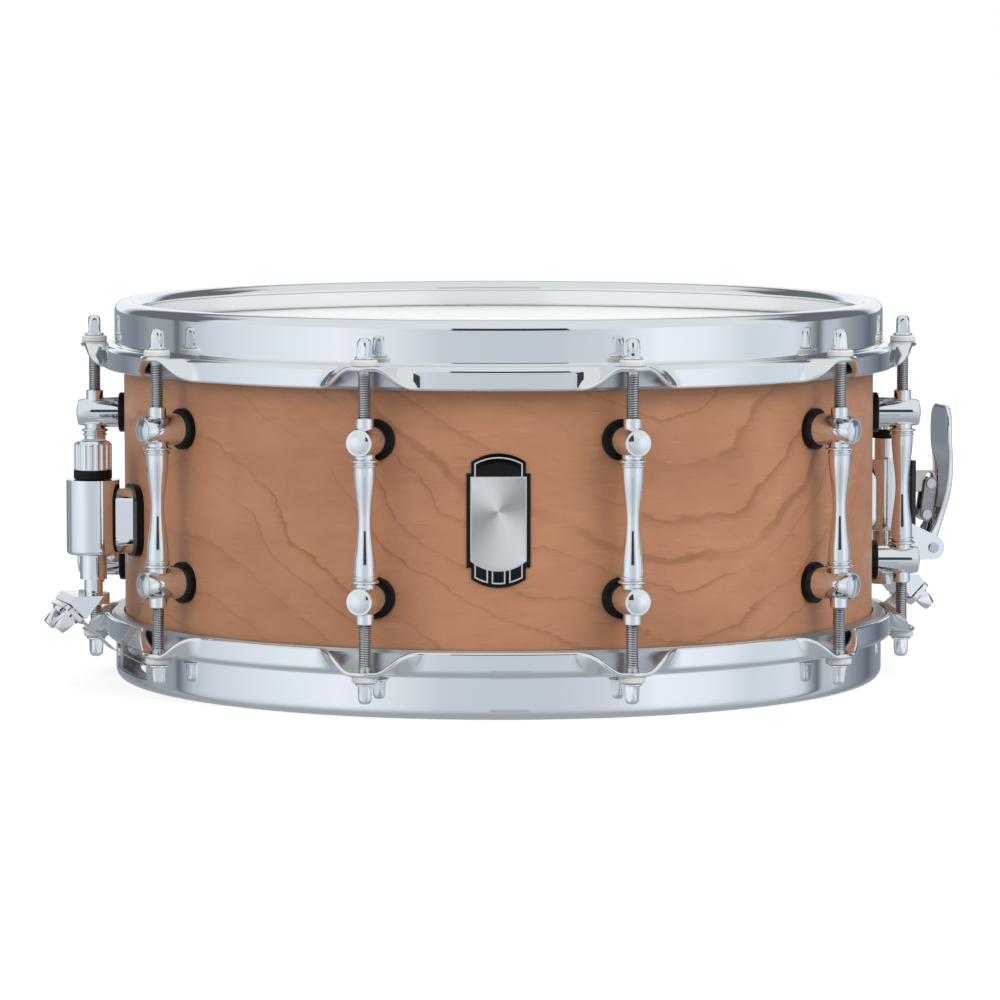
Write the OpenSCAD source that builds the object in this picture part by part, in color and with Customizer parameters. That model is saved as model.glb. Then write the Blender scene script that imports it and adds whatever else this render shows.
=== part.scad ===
// Snare drum, 14 x 6 in: ply shell, flanged hoops, ten turned tube lugs, throw-off and butt.
// X runs from the butt (-X) to the throw-off (+X), +Z is up and z = 0 is the crest of the
// snare-side hoop that the drum rests on. Heights inside the modules are counted from the
// mid plane of the shell; at_mid() lifts them to their place.

/* [Shell] */
// Outer diameter of the shell
shell_d = 355.6; // [340:0.1:370]
// Height of the shell, edge to edge
shell_h = 152.4; // [140:0.1:180]
// Wall of the shell
shell_wall = 6; // [5:0.1:8]
// Radius of the round-over outside each bearing edge
edge_r = 2; // [1:0.1:2.5]
// Depth of the snare beds
bed_depth = 2.2; // [1:0.1:3]
// Width of the snare beds along the edge
bed_w = 90; // [60:1:110]
// Bore of the air vent
vent_d = 8; // [6:0.1:10]

/* [Heads] */
// Thickness of the batter film
batter_film = 0.3; // [0.2:0.05:0.4]
// Thickness of the snare-side film
snare_film = 0.2; // [0.15:0.05:0.3]
// Radial room between the shell and the film's collar
film_gap = 0.6; // [0.4:0.05:1]
// Radius of the collar's bend over the edge
film_bend = 2.5; // [2.2:0.1:3]
// Radial width of the flesh hoops
flesh_w = 5.6; // [4.5:0.1:6]
// Height of the flesh hoops
flesh_h = 8.9; // [7:0.1:10]

/* [Counter hoops] */
// Sheet thickness of the hoops
hoop_t = 2.3; // [1.6:0.1:2.6]
// Height of the crest above the bearing edge
rim_rise = 13; // [10:0.1:16]
// Depth of the flange's top below the bearing edge
step_drop = 7.1; // [5:0.1:9]
// Height of the skirt, flange top to lower edge
skirt_h = 11.1; // [10:0.1:13]
// Radial room between the shell and the hoop's wall
wall_gap = 2.1; // [1.6:0.1:2.6]
// Radial room between the flesh hoop and the skirt
skirt_gap = 0.9; // [0.6:0.1:1.4]
// Radius of the crest's outer roll
crest_r = 4; // [3:0.1:5]
// Flat top of the crest, in the radial direction
crest_flat = 3.2; // [2.4:0.1:4]
// Half width of the ears' flat top
ear_flat = 6.2; // [5:0.1:7]
// Radius of the ears' round tip
ear_tip_r = 7; // [6.4:0.1:7.6]
// Half length of an ear where it meets the skirt
ear_span = 22; // [19:0.5:25]

/* [Lugs] */
// Distance of the rods' circle from the shell
rod_off = 14.4; // [14:0.1:16]
// Height of the posts above and below the mid plane
post_z = 35.3; // [33:0.1:40]
// Diameter of the posts
post_d = 13.1; // [12:0.1:14]
// Reach of the posts past the rods' circle
post_tip = 8.8; // [7.5:0.1:10]
// Diameter of the flare at a post's foot
post_foot_d = 14.3; // [13.8:0.1:15.5]
// Diameter of the tube at its waist
tube_waist_d = 5.4; // [5:0.1:6.4]
// Diameter of the tube at the ends of its taper
tube_end_d = 9; // [8.6:0.1:9.4]
// Half length of the taper
taper_z = 18.7; // [17:0.1:20]
// Diameter of the collars that the rods enter
collar_d = 7.6; // [7.2:0.1:8.4]
// Length of a collar past its post's axis
collar_l = 10.7; // [9:0.1:12]
// Diameter of the lugs' gaskets
gasket_d = 18.3; // [16:0.1:20]
// Thickness of all gaskets
gasket_t = 3; // [2:0.1:4]

/* [Tension rods] */
// Diameter of the rods
rod_d = 5.4; // [5:0.1:5.6]
// Side of the square key heads
key_side = 6.35; // [6:0.05:6.6]
// Height of the key heads
key_h = 8.4; // [7:0.1:10]
// Diameter of the rods' own flange
rod_flange_d = 9.2; // [8.6:0.1:10]
// Thickness of the rods' own flange
rod_flange_t = 1; // [0.8:0.1:1.5]
// Diameter of the nylon washers
washer_d = 12; // [11:0.1:13]
// Thickness of the nylon washers
washer_t = 2.9; // [2:0.1:3.5]
// Length of a rod below its flange
rod_l = 48; // [44:0.5:50]

/* [Throw-off and butt] */
// Distance of the hanger rods' axes from the shell
anchor_off = 20.7; // [20:0.1:23]
// Diameter of the housings
housing_d = 24.8; // [24:0.1:26]
// Top of the housings, from the mid plane
housing_top = 8.5; // [6:0.1:12]
// Underside of the housings, from the mid plane
housing_bot = -26.5; // [-30:0.1:-26]
// Diameter of the necks below the housings
neck_d = 12.6; // [12:0.1:14]
// Length of the necks
neck_l = 11.6; // [9:0.1:12]
// Width of the feet
foot_w = 18; // [16:0.1:20]
// Height of the feet
foot_h = 30.5; // [28:0.1:31]
// Diameter of the round hanger rods
hanger_d = 8.7; // [8:0.1:9]
// Diameter of the adjusting knobs
knob_d = 17.9; // [16:0.1:19]
// Height of the knobs' fluted band
knob_h = 12; // [10:0.1:14]
// Height of the knobs' dome
dome_h = 1.8; // [1:0.1:2.5]
// Height of the rubber friction rings
ring_h = 4.3; // [3:0.1:5]
// Number of flutes round a knob
flutes = 18; // [12:1:24]
// Travel of the piston when the snares are thrown off
stroke = 10; // [6:0.1:10]
// Diameter of the piston
piston_d = 15.7; // [14.5:0.1:16]
// Diameter of the piston's neck
piston_neck_d = 11; // [10:0.1:12]
// Top of the butt's clamp block, from the mid plane
butt_block_top = -44.6; // [-46:0.1:-43]
// Top of the throw-off's clamp block, from the mid plane
strainer_block_top = -47.9; // [-50:0.1:-46]
// Half width of the clamp blocks
block_half = 15.2; // [14.5:0.1:16]

/* [Lever and links] */
// Place of the lever's pivot past the hanger's axis
pivot_out = 21.2; // [21:0.1:22]
// Height of the lever's pivot
pivot_z = -35.3; // [-36:0.1:-35]
// Height of the lower link pin above the pivot
low_pin_up = 15.7; // [15.4:0.1:16]
// Distance of the lower link pin inwards of the pivot
low_pin_in = 0.9; // [0.6:0.1:1.2]
// Height of the upper link pin above the lower one
link_up = 15.1; // [14.8:0.1:15.4]
// Distance of the upper link pin outwards of the lower one
link_out = 2.1; // [1.8:0.1:2.4]
// Diameter of the link pins
link_pin_d = 3; // [2.6:0.1:3.2]
// Width of the links
link_w = 6.2; // [5.8:0.1:7]
// Thickness of a link
link_t = 1.5; // [1.2:0.1:1.6]
// Diameter of the lever's pivot pin
pivot_d = 4; // [3.6:0.1:4.4]
// Wall of the lever's dished section
lever_wall = 1.8; // [1.4:0.1:2]
// Half width of the lever between the cheeks
lever_half = 8; // [7.6:0.1:8.2]
// Half width of the lever's paddle
paddle_half = 11; // [9.5:0.1:12.5]
// Height of the paddle's tip
paddle_top = 34; // [30:0.5:36]
// Thickness of the yoke and of the lever's tongue
tongue_t = 4; // [3.4:0.1:4.2]

/* [Snares] */
// Number of coiled wires
wire_count = 20; // [12:1:24]
// Diameter of a wire's coil
coil_d = 2; // [1.6:0.1:2]
// Spacing of the wires
wire_pitch = 2.1; // [2.05:0.05:2.4]
// Room between the wires' ends and the outside of the shell
wire_room = 27.8; // [25:0.1:38]
// Width of the straps
strap_w = 14.6; // [12:0.1:15]
// Thickness of the straps
strap_t = 0.4; // [0.3:0.05:0.5]

/* [Hidden] */
$fn = 64;

// Clearances
run_gap = 0.3;        // radial, between pieces that move past each other
seat_gap = 0.2;       // axial, under a head, knob or ring that turns
pin_gap = 0.06;       // radial, round a hinge pin
past = 1;             // how far a cutter runs past the face it cuts

// Shell
shell_r = shell_d / 2;
shell_in = shell_r - shell_wall;
wide = 2 * (shell_r + anchor_off); // for cutters that run past the whole drum
edge_z = shell_h / 2;
mid_z = edge_z + rim_rise;
bed_r = (pow(bed_w / 2, 2) + pow(bed_depth, 2)) / (2 * bed_depth);
vent_az = 72;
badge_az = 252;
grommet_t = 1.6;
badge_w = 29.5;
badge_h = 60;
badge_t = 0.9;

// Hoops, radii and heights of the batter side
collar_in = shell_r + film_gap;
flesh_out = collar_in + batter_film + flesh_w;
flange_top = edge_z - step_drop;
flange_bot = flange_top - hoop_t;
flesh_bot = flange_bot - flesh_h;
skirt_bot = flange_top - skirt_h;
wall_in = shell_r + wall_gap;
wall_out = wall_in + hoop_t;
skirt_in = flesh_out + skirt_gap;
skirt_out = skirt_in + hoop_t;
crest_z = mid_z;
roll_x = wall_out - crest_r;
curl_x = roll_x - crest_flat;
flange_fillet = 2;
flange_round = 2.7;

// Ears: heights of the wings' top below the flange's top
lug_count = 10;
lug_first = 18;
rod_r = shell_r + rod_off;
rod_point = 0.8;       // chamfer at a rod's end
bore_room = 1.4;       // depth of a lug's bore past its rod's end
wing_y = ear_flat + 8.3;
wing_drop = 6.6;
toe_drop = skirt_h - hoop_t - 0.7;
ear_hole_d = rod_d + 1.4;
ear_low_y = ear_span - 3;
ear_root = 0.8;        // how deep an ear starts inside the skirt's sheet

// Gates in the snare-side hoop
gate_half = 15;
gate_out = 9.1;        // bulge of the bridge past the wall
gate_low = 5.9;        // height of the opening under the flange
bridge_h = 9;

// Lugs
post_x = shell_r + gasket_t;
post_end = rod_r + post_tip;
rod_seat = flange_top + washer_t + seat_gap;
rod_end = rod_seat - rod_l - rod_point;
bore_d = rod_d + 2 * run_gap + 0.2;
dome_r = 22;
waist_r = (pow(taper_z, 2) + pow((tube_end_d - tube_waist_d) / 2, 2)) / (tube_end_d - tube_waist_d);
bead_z = post_z - 9.5;
screw_d = 5;
screw_hole_d = screw_d + 0.4;
screw_end = rod_r - bore_d / 2 - 0.5;
screw_head_d = 9.4;
screw_head_t = 2.8;
screw_washer_d = 13;
screw_washer_t = 1.2;
screw_seat = sqrt(pow(shell_in, 2) - pow(screw_washer_d / 2, 2));

// Throw-off and butt
anchor_r = shell_r + anchor_off;
foot_z = housing_top - 4.4 - foot_h / 2;
foot_round = 6;
anchor_screw_z = 9;
neck_bot = housing_bot - neck_l;
housing_round = 2;
hanger_bore = hanger_d + 2 * run_gap;
stem_d = 5.6;
stem_bore = stem_d + 2 * run_gap;
piston_top = 4;
piston_bot = -13;
piston_neck_top = housing_top + stroke - seat_gap;
piston_bore = piston_d + 2 * run_gap;
slot_w = tongue_t + 2 * run_gap;
slot_low = -24.2;
slot_top = 6;
guide_t = 2.4;
guide_half = 6.2;
hanger_free = 2;       // room above a hanger for its adjustment
butt_hanger_top = -8;
stem_l = 16;           // length of a stem inside its hanger
flute_d = 2.2;
flute_out = 0.5;       // axes of the flutes past the knob's side
flute_rise = 1;        // plain band under the flutes

// Clamp blocks: places from the hanger's axis and the block's top
clamp_tilt = 45;
clamp_l = 10.6;
clamp_back = 1.5;
clamp_reach = 14.9;    // from the hanger's axis to the nose
clamp_drop = 3.4;      // of the nose below the block's top
clamp_nose = [clamp_reach, -clamp_drop];
clamp_chamfer = 3;
clamp_plate_t = 2.4;
clamp_gap = strap_t + 0.2;
clamp_screw_y = 9.9;
clamp_screw_d = 4.5;
clamp_hole = 6;
boss_d = 15;           // round the hanger's foot
boss_h = 5;
clamp_heel = clamp_nose - clamp_l * [cos(clamp_tilt), sin(clamp_tilt)];

// Lever
pivot_x = anchor_r + pivot_out;
pin_a = [pivot_x - low_pin_in, pivot_z + low_pin_up];
pin_b = pin_a + [link_out, link_up];
lever_gap = 0.4;
bow_foot_x = 3.6;      // the outer edge's curve, from the pivot
bow_foot_z = 3.4;
bow_low_x = 14.5;
bow_low_z = 30;
bow_top_x = 11.5;
bow_top_z = 46;
bow_tip_x = 8.6;
flange_tip_x = 5.6;    // the side flanges' inner edge, from the pivot
flange_mid_x = 5.2;
flange_low_x = 3.8;
flange_mid_z = 28;
flange_low_z = 12;
paddle_r = 8;          // round corners of the paddle
paddle_neck = 20;      // height of the paddle, from its tip to where its sides draw in
shoulder_h = 5;
cheek_t = 2;
cheek_r = 5.8;
hub_r = 4.8;
yoke_slack = 3.6;      // the yoke's slot, above the pin
link_in = tongue_t / 2 + run_gap;

// Snares
wire_l = shell_d - 2 * wire_room;
wire_z = -edge_z - snare_film - 0.1 - coil_d / 2;
plate_l = 14;
plate_t = 1;
plate_z = wire_z - coil_d / 2 - plate_t;
plate_w = wire_count * wire_pitch;
strap_z = plate_z - strap_t / 2;

// ---- helpers ----

module at_mid() { translate([0, 0, mid_z]) children(); }

// a sector of a ring in the plane, from angle a0 to a1 (at most a quarter turn)
module ring_sector(r_in, r_out, a0, a1) {
  far = 2 * r_out;
  am = (a0 + a1) / 2;
  intersection() {
    difference() {
      circle(r_out);
      if (r_in > 0) circle(r_in);
    }
    polygon([[0, 0], far * [cos(a0), sin(a0)], far * [cos(am), sin(am)], far * [cos(a1), sin(a1)]]);
  }
}

module box2(x0, x1, y0, y1) { translate([x0, y0]) square([x1 - x0, y1 - y0]); }

// a cylinder along +X, from x0 to x1 at height z
module bar_x(x0, x1, d, z = 0, y = 0) {
  translate([x0, y, z]) rotate([0, 90, 0]) cylinder(h = x1 - x0, d = d);
}

module cyl_z(x, z0, z1, d) { translate([x, 0, z0]) cylinder(h = z1 - z0, d = d); }

// a plane outline drawn in (x, z), given the thickness 2 * half along Y
module slab_y(half) { rotate([90, 0, 0]) translate([0, 0, -half]) linear_extrude(2 * half) children(); }

// a plane outline drawn in (y, z), run along X from x0 to x1
module slab_x(x0, x1) {
  translate([x0, 0, 0]) rotate([90, 0, 90]) linear_extrude(x1 - x0) children();
}

module round_rect(w, h, r) {
  square([w - 2 * r, h], center = true);
  square([w, h - 2 * r], center = true);
  for (sx = [-1, 1], sy = [-1, 1]) translate([sx * (w / 2 - r), sy * (h / 2 - r)]) circle(r);
}

// two round ends of radius r joined by a bar, centres p and q
module stadium(p, q, r) {
  d = q - p;
  translate(p) circle(r);
  translate(q) circle(r);
  translate(p) rotate(atan2(d[1], d[0])) translate([0, -r]) square([norm(d), 2 * r]);
}

module each_lug() { for (i = [0:lug_count - 1]) rotate(lug_first + i * 360 / lug_count) children(); }
module both_ends() { for (m = [0, 1]) mirror([0, 0, m]) children(); }

// ---- shell ----

module shell_half_profile() {
  polygon([[shell_in, 0], [shell_r, 0], [shell_r, edge_z - edge_r], [shell_r - edge_r, edge_z],
    [shell_in, edge_z - shell_wall + edge_r]]);
  translate([shell_r - edge_r, edge_z - edge_r]) ring_sector(0, edge_r, 0, 90);
}

module anchor_holes(d) {
  for (s = [-1, 1]) bar_x(shell_in - 2 * past, post_x + past, d, foot_z + s * anchor_screw_z);
}

module shell() {
  color("#b5805c") at_mid() difference() {
    rotate_extrude($fn = 180) {
      shell_half_profile();
      mirror([0, 1]) shell_half_profile();
    }
    translate([-wide / 2, 0, bed_depth - edge_z - bed_r]) rotate([0, 90, 0])
      cylinder(h = wide, r = bed_r, $fn = 720);
    each_lug() for (s = [-1, 1]) bar_x(shell_in - 2 * past, shell_r + past, screw_hole_d, s * post_z);
    for (a = [0, 180]) rotate(a) anchor_holes(screw_hole_d);
    rotate(vent_az) bar_x(shell_in - 2 * past, shell_r + past, vent_d + 4);
  }
}

module vent_grommet() {
  color("#8d9096") at_mid() rotate(vent_az) difference() {
    union() {
      bar_x(shell_in - grommet_t, shell_r + past, vent_d + 4 - 0.1);
      difference() {
        bar_x(shell_r - past, shell_r + grommet_t, vent_d + 9);
        cylinder(h = 4 * vent_d, r = shell_r, center = true, $fn = 180);
      }
      bar_x(shell_in - grommet_t - 0.2, shell_in - 0.2, vent_d + 7);
    }
    bar_x(shell_in - 4 * past, shell_r + 4 * past, vent_d);
  }
}

module badge_plate() {
  color("#1c1c1e") at_mid() rotate(badge_az) intersection() {
    difference() {
      cylinder(h = 2 * badge_h, r = shell_r + badge_t, center = true, $fn = 360);
      cylinder(h = 3 * badge_h, r = shell_r, center = true, $fn = 360);
    }
    slab_x(shell_r - 2 * past, shell_r + 2 * past) round_rect(badge_w, badge_h, badge_w / 2 - 0.1);
  }
}

// ---- heads and hoops, drawn for the batter side ----

module film(t) {
  out = collar_in + t;
  top = edge_z + t;
  rotate_extrude($fn = 180) {
    box2(0, out - film_bend, edge_z, top);
    translate([out - film_bend, top - film_bend]) ring_sector(film_bend - t, film_bend, 0, 90);
    box2(collar_in, out, flesh_bot + hoop_t, top - film_bend);
  }
}

module flesh_hoop(t) {
  rotate_extrude($fn = 180) difference() {
    box2(collar_in + t, flesh_out, flesh_bot, flange_bot);
    translate([flesh_out, flesh_bot]) rotate(45) square(2, center = true);
  }
}

module hoop_profile() {
  box2(wall_in, wall_out, flange_bot, crest_z - crest_r);
  translate([roll_x, crest_z - crest_r]) ring_sector(crest_r - hoop_t, crest_r, 0, 90);
  box2(curl_x, roll_x, crest_z - hoop_t, crest_z);
  translate([curl_x, crest_z - crest_r]) ring_sector(crest_r - hoop_t, crest_r, 90, 165);
  box2(wall_in, skirt_out - flange_round, flange_bot, flange_top);
  translate([skirt_out - flange_round, flange_top - flange_round])
    ring_sector(flange_round - hoop_t, flange_round, 0, 90);
  box2(skirt_in, skirt_out, skirt_bot, flange_top - flange_round);
  difference() {
    box2(wall_out - 0.1, wall_out + flange_fillet, flange_top - 0.1, flange_top + flange_fillet);
    translate([wall_out + flange_fillet, flange_top + flange_fillet]) circle(flange_fillet);
  }
}

// top line of an ear across the drum's tangent: flat, then sloping wings, then toes
function ear_line(drop) = [
  [-ear_span, flange_top - toe_drop - drop], [-wing_y, flange_top - wing_drop - drop],
  [-ear_flat, flange_top - drop], [ear_flat, flange_top - drop],
  [wing_y, flange_top - wing_drop - drop], [ear_span, flange_top - toe_drop - drop]
];
function reversed(list) = [for (i = [len(list) - 1:-1:0]) list[i]];

// plan of an ear: a round tip whose tangents run to the skirt
module ear_plan() {
  heel = [sqrt(pow(skirt_out, 2) - pow(ear_span, 2)), ear_span];
  reach = heel - [rod_r, 0];
  bend = atan2(reach[1], reach[0]) - acos(ear_tip_r / norm(reach));
  touch = [rod_r, 0] + ear_tip_r * [cos(bend), sin(bend)];
  difference() {
    union() {
      translate([rod_r, 0]) circle(ear_tip_r);
      polygon([[heel[0] - 4, -heel[1]], [heel[0], -heel[1]], [touch[0], -touch[1]], touch, heel,
        [heel[0] - 4, heel[1]]]);
    }
    circle(skirt_in + ear_root, $fn = 360);
  }
}

module ear() {
  intersection() {
    slab_x(skirt_in - 5, rod_r + 2 * ear_tip_r) polygon(concat(ear_line(0), reversed(ear_line(hoop_t))));
    translate([0, 0, skirt_bot - 2 * past]) linear_extrude(2 * skirt_h) ear_plan();
  }
}

module skirt_cut() {
  slab_x(skirt_in - 0.5, skirt_out + past) polygon([
    [-ear_low_y, skirt_bot - past], [-ear_low_y, flange_top - toe_drop - hoop_t / 2],
    [-wing_y, flange_top - wing_drop - hoop_t / 2], [-ear_flat, flange_top - hoop_t / 2],
    [ear_flat, flange_top - hoop_t / 2], [wing_y, flange_top - wing_drop - hoop_t / 2],
    [ear_low_y, flange_top - toe_drop - hoop_t / 2], [ear_low_y, skirt_bot - past]
  ]);
}

module counter_hoop() {
  difference() {
    union() {
      difference() {
        rotate_extrude($fn = 180) hoop_profile();
        each_lug() skirt_cut();
      }
      each_lug() ear();
    }
    each_lug() cyl_z(rod_r, flange_bot - 3 * past, flange_top + past, ear_hole_d);
  }
}

// a gate: an opening through the wall, bridged below by a band that bulges outwards
module gate_window() {
  translate([wall_in - 3, -gate_half, flange_top]) cube([8, 2 * gate_half, gate_low + bridge_h]);
}

module gate_bridge() {
  chord_half = gate_half + hoop_t;
  chord_x = sqrt(pow(wall_out, 2) - pow(chord_half, 2));
  rise = wall_out + gate_out - chord_x;
  r = (pow(chord_half, 2) + pow(rise, 2)) / (2 * rise);
  low = flange_top + gate_low;
  intersection() {
    difference() {
      cyl_z(chord_x + rise - r, low, low + bridge_h, 2 * r);
      cyl_z(chord_x + rise - r, low - past, low + bridge_h + past, 2 * (r - hoop_t));
    }
    difference() {
      translate([wall_in - 3, -2 * gate_half, low - past]) cube([30, 4 * gate_half, bridge_h + 2 * past]);
      cyl_z(0, low - 2 * past, low + bridge_h + 2 * past, 2 * (wall_in + 0.1), $fn = 360);
    }
  }
}

module batter_head() { color("#f1f1ee") at_mid() film(batter_film); }
module batter_flesh_hoop() { color("#b9bcc2") at_mid() flesh_hoop(batter_film); }
module batter_hoop() { color("#d3d7de") at_mid() counter_hoop(); }
module snare_side_head() { color("#e4e8ea") at_mid() mirror([0, 0, 1]) film(snare_film); }
module snare_side_flesh_hoop() { color("#b9bcc2") at_mid() mirror([0, 0, 1]) flesh_hoop(snare_film); }
module snare_side_hoop() {
  color("#d3d7de") at_mid() mirror([0, 0, 1]) {
    difference() {
      counter_hoop();
      for (a = [0, 180]) rotate(a) gate_window();
    }
    for (a = [0, 180]) rotate(a) gate_bridge();
  }
}

// ---- lugs ----

module lug_tube() {
  translate([rod_r, 0, 0]) {
    rotate_extrude() difference() {
      box2(0, tube_end_d / 2, -taper_z, taper_z);
      translate([tube_waist_d / 2 + waist_r, 0]) circle(waist_r, $fn = 720);
    }
    both_ends() {
      translate([0, 0, taper_z]) cylinder(h = post_z - taper_z, d = tube_end_d);
      translate([0, 0, bead_z]) rotate_extrude() translate([tube_end_d / 2, 0]) circle(0.8, $fn = 32);
      translate([0, 0, bead_z + 0.6]) cylinder(h = 2.5, d = tube_end_d + 0.7);
    }
  }
}

// a post's outline from its gasket outwards: flared foot, slightly domed face
module post_outline() {
  reach = post_end - post_x;
  intersection() {
    box2(0, post_d / 2, 0, reach);
    translate([0, reach - dome_r]) circle(dome_r, $fn = 360);
  }
  polygon([[0, 0], [post_foot_d / 2, 0], [post_foot_d / 2, 0.6], [post_d / 2, 2.4], [0, 2.4]]);
}

module lug_post() {
  translate([post_x, 0, post_z]) rotate([0, 90, 0]) rotate_extrude() post_outline();
  cyl_z(rod_r, post_z, post_z + collar_l, collar_d);
}

module tube_lugs() {
  color("#cfd3db") at_mid() each_lug() difference() {
    union() {
      lug_tube();
      both_ends() lug_post();
    }
    both_ends() {
      cyl_z(rod_r, rod_end - bore_room, post_z + collar_l + past, bore_d);
      bar_x(post_x - past, screw_end + 0.1, screw_d + 0.1, post_z);
    }
  }
}

module lug_gaskets() {
  color("#161617") at_mid() each_lug() difference() {
    both_ends() bar_x(shell_r - 2 * past, post_x, gasket_d, post_z);
    cylinder(h = wide, r = shell_r, center = true, $fn = 360);
    both_ends() bar_x(shell_in, post_x + past, screw_hole_d, post_z);
  }
}

module shell_screw(z) {
  bar_x(screw_seat - screw_washer_t, screw_end, screw_d, z);
  bar_x(screw_seat - screw_washer_t, screw_seat, screw_washer_d, z);
  bar_x(screw_seat - screw_washer_t - screw_head_t, screw_seat - screw_washer_t, screw_head_d, z);
}

module lug_screws() { color("#8d8f94") at_mid() each_lug() for (s = [-1, 1]) shell_screw(s * post_z); }

module rod_washers() {
  color("#e6dfcf") at_mid() each_lug() both_ends() difference() {
    cyl_z(rod_r, flange_top, flange_top + washer_t, washer_d);
    cyl_z(rod_r, flange_top - past, flange_top + washer_t + past, rod_d + 2 * run_gap);
  }
}

// a tension rod of the batter side: shank, flange and a square key head with a round nose
module tension_rod() {
  head = rod_seat + rod_flange_t;
  translate([rod_r, 0, 0]) {
    translate([0, 0, rod_seat - rod_l]) cylinder(h = rod_l, d = rod_d);
    translate([0, 0, rod_end]) cylinder(h = rod_point, d1 = rod_d - 2 * rod_point, d2 = rod_d);
    translate([0, 0, rod_seat]) cylinder(h = rod_flange_t, d = rod_flange_d);
    intersection() {
      translate([-key_side / 2, -key_side / 2, head]) cube([key_side, key_side, key_h]);
      translate([0, 0, head]) rotate_extrude() {
        box2(0, key_side * 0.68, 0, key_h * 0.62);
        polygon([[0, key_h * 0.62], [key_side * 0.68, key_h * 0.62], [key_side * 0.3, key_h], [0, key_h]]);
      }
    }
  }
}

module batter_rod(i) {
  color("#a9adb5") at_mid() rotate(lug_first + (i - 1) * 360 / lug_count) tension_rod();
}

module snare_rod(i) {
  color("#a9adb5") at_mid() rotate(lug_first + (i - 1) * 360 / lug_count) mirror([0, 0, 1]) tension_rod();
}

// ---- throw-off and butt, drawn at +X ----

module housing_outline() {
  translate([anchor_r, 0, 0]) rotate_extrude() {
    box2(0, housing_d / 2, housing_bot + housing_round, housing_top);
    box2(0, housing_d / 2 - housing_round, housing_bot, housing_top);
    translate([housing_d / 2 - housing_round, housing_bot + housing_round])
      ring_sector(0, housing_round, -90, 0);
    box2(0, neck_d / 2, neck_bot, housing_top);
  }
  slab_x(post_x, anchor_r - 6) translate([0, foot_z]) round_rect(foot_w, foot_h, foot_round);
}

module anchor_gasket() {
  difference() {
    slab_x(shell_r - 2 * past, post_x) translate([0, foot_z])
      round_rect(foot_w + 7.5, foot_h + 2.9, foot_round + 3);
    cylinder(h = wide, r = shell_r, center = true, $fn = 360);
    anchor_holes(screw_hole_d);
  }
}

module butt_housing() {
  color("#cfd3db") at_mid() rotate(180) difference() {
    housing_outline();
    cyl_z(anchor_r, neck_bot - past, housing_top + past, hanger_bore);
    for (s = [-1, 1]) bar_x(post_x - past, screw_end + 0.1, screw_d + 0.1, foot_z + s * anchor_screw_z);
  }
}

module strainer_housing() {
  color("#cfd3db") at_mid() difference() {
    housing_outline();
    cyl_z(anchor_r, neck_bot - past, housing_top, hanger_bore);
    cyl_z(anchor_r, housing_bot + 2, housing_top - 2, piston_bore);
    cyl_z(anchor_r, housing_bot + 3, housing_top + past, piston_neck_d + 2 * run_gap);
    translate([anchor_r, -slot_w / 2, slot_low]) cube([wide, slot_w, slot_top - slot_low]);
    translate([anchor_r + housing_d / 2 - 1.2, -guide_half, slot_low - 1.2])
      cube([wide, 2 * guide_half, slot_top - slot_low + 2.4]);
    for (s = [-1, 1]) bar_x(post_x - past, screw_end + 0.1, screw_d + 0.1, foot_z + s * anchor_screw_z);
  }
}

module strainer_guide() {
  x0 = anchor_r + housing_d / 2 - 1.2;
  color("#1d1d1f") at_mid() difference() {
    translate([x0, -guide_half, slot_low - 1.2])
      cube([guide_t, 2 * guide_half, slot_top - slot_low + 2.4]);
    translate([x0 - past, -slot_w / 2, slot_low]) cube([guide_t + 2 * past, slot_w, slot_top - slot_low]);
  }
}

module strainer_gasket() { color("#161617") at_mid() anchor_gasket(); }
module butt_gasket() { color("#161617") at_mid() rotate(180) anchor_gasket(); }

module anchor_screws() {
  color("#8d8f94") at_mid() for (a = [0, 180], s = [-1, 1])
    rotate(a) shell_screw(foot_z + s * anchor_screw_z);
}

// cheeks that carry the lever's pin, joined below the housing by a web round the neck
module cheek_outline() {
  polygon([[anchor_r - 1, housing_bot + 3.5], [anchor_r + 9.5, housing_bot + 3.5],
    [pivot_x + cheek_r * cos(62), pivot_z + cheek_r * sin(62)],
    [pivot_x, pivot_z - cheek_r], [anchor_r - 1, pivot_z - cheek_r]]);
  translate([pivot_x, pivot_z]) circle(cheek_r);
}

module strainer_bracket() {
  inner = lever_half + lever_gap;
  low = pivot_z - cheek_r;
  color("#dfe2e8") at_mid() difference() {
    union() {
      for (s = [-1, 1]) translate([0, s * (inner + cheek_t / 2), 0]) slab_y(cheek_t / 2) cheek_outline();
      translate([anchor_r - 1, -inner - cheek_t / 2, low])
        cube([9.6, 2 * inner + cheek_t, housing_bot - low]);
    }
    cyl_z(anchor_r, low - past, housing_bot + wide, neck_d);
    cyl_z(anchor_r, housing_bot, housing_bot + wide, housing_d);
    bar_pin(pivot_d / 2 + 0.02, [pivot_x, pivot_z], inner + 2 * cheek_t);
  }
}

// a pin along Y, of half length half, at a place in (x, z)
module bar_pin(r, at, half) {
  translate([at[0], half, at[1]]) rotate([90, 0, 0]) cylinder(h = 2 * half, r = r);
}

module lever_pin() {
  half = lever_half + lever_gap + cheek_t;
  color("#9a9da3") at_mid() {
    bar_pin(pivot_d / 2, [pivot_x, pivot_z], half + 0.3);
    for (s = [-1, 1]) translate([0, s * (half + 0.5), 0])
      bar_pin(pivot_d / 2 + 0.5, [pivot_x, pivot_z], 0.5);
  }
}

// piston: guide diameter, neck that carries the knob, pocket for the yoke
module strainer_piston() {
  color("#c9a27a") at_mid() difference() {
    union() {
      cyl_z(anchor_r, piston_bot, piston_top, piston_d);
      cyl_z(anchor_r, piston_top, piston_neck_top, piston_neck_d);
    }
    cyl_z(anchor_r, piston_bot - past, piston_neck_top + past, stem_bore);
    translate([anchor_r + 4, -tongue_t / 2, pin_b[1] - 4.3]) cube([piston_d, tongue_t, 11]);
  }
}

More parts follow.
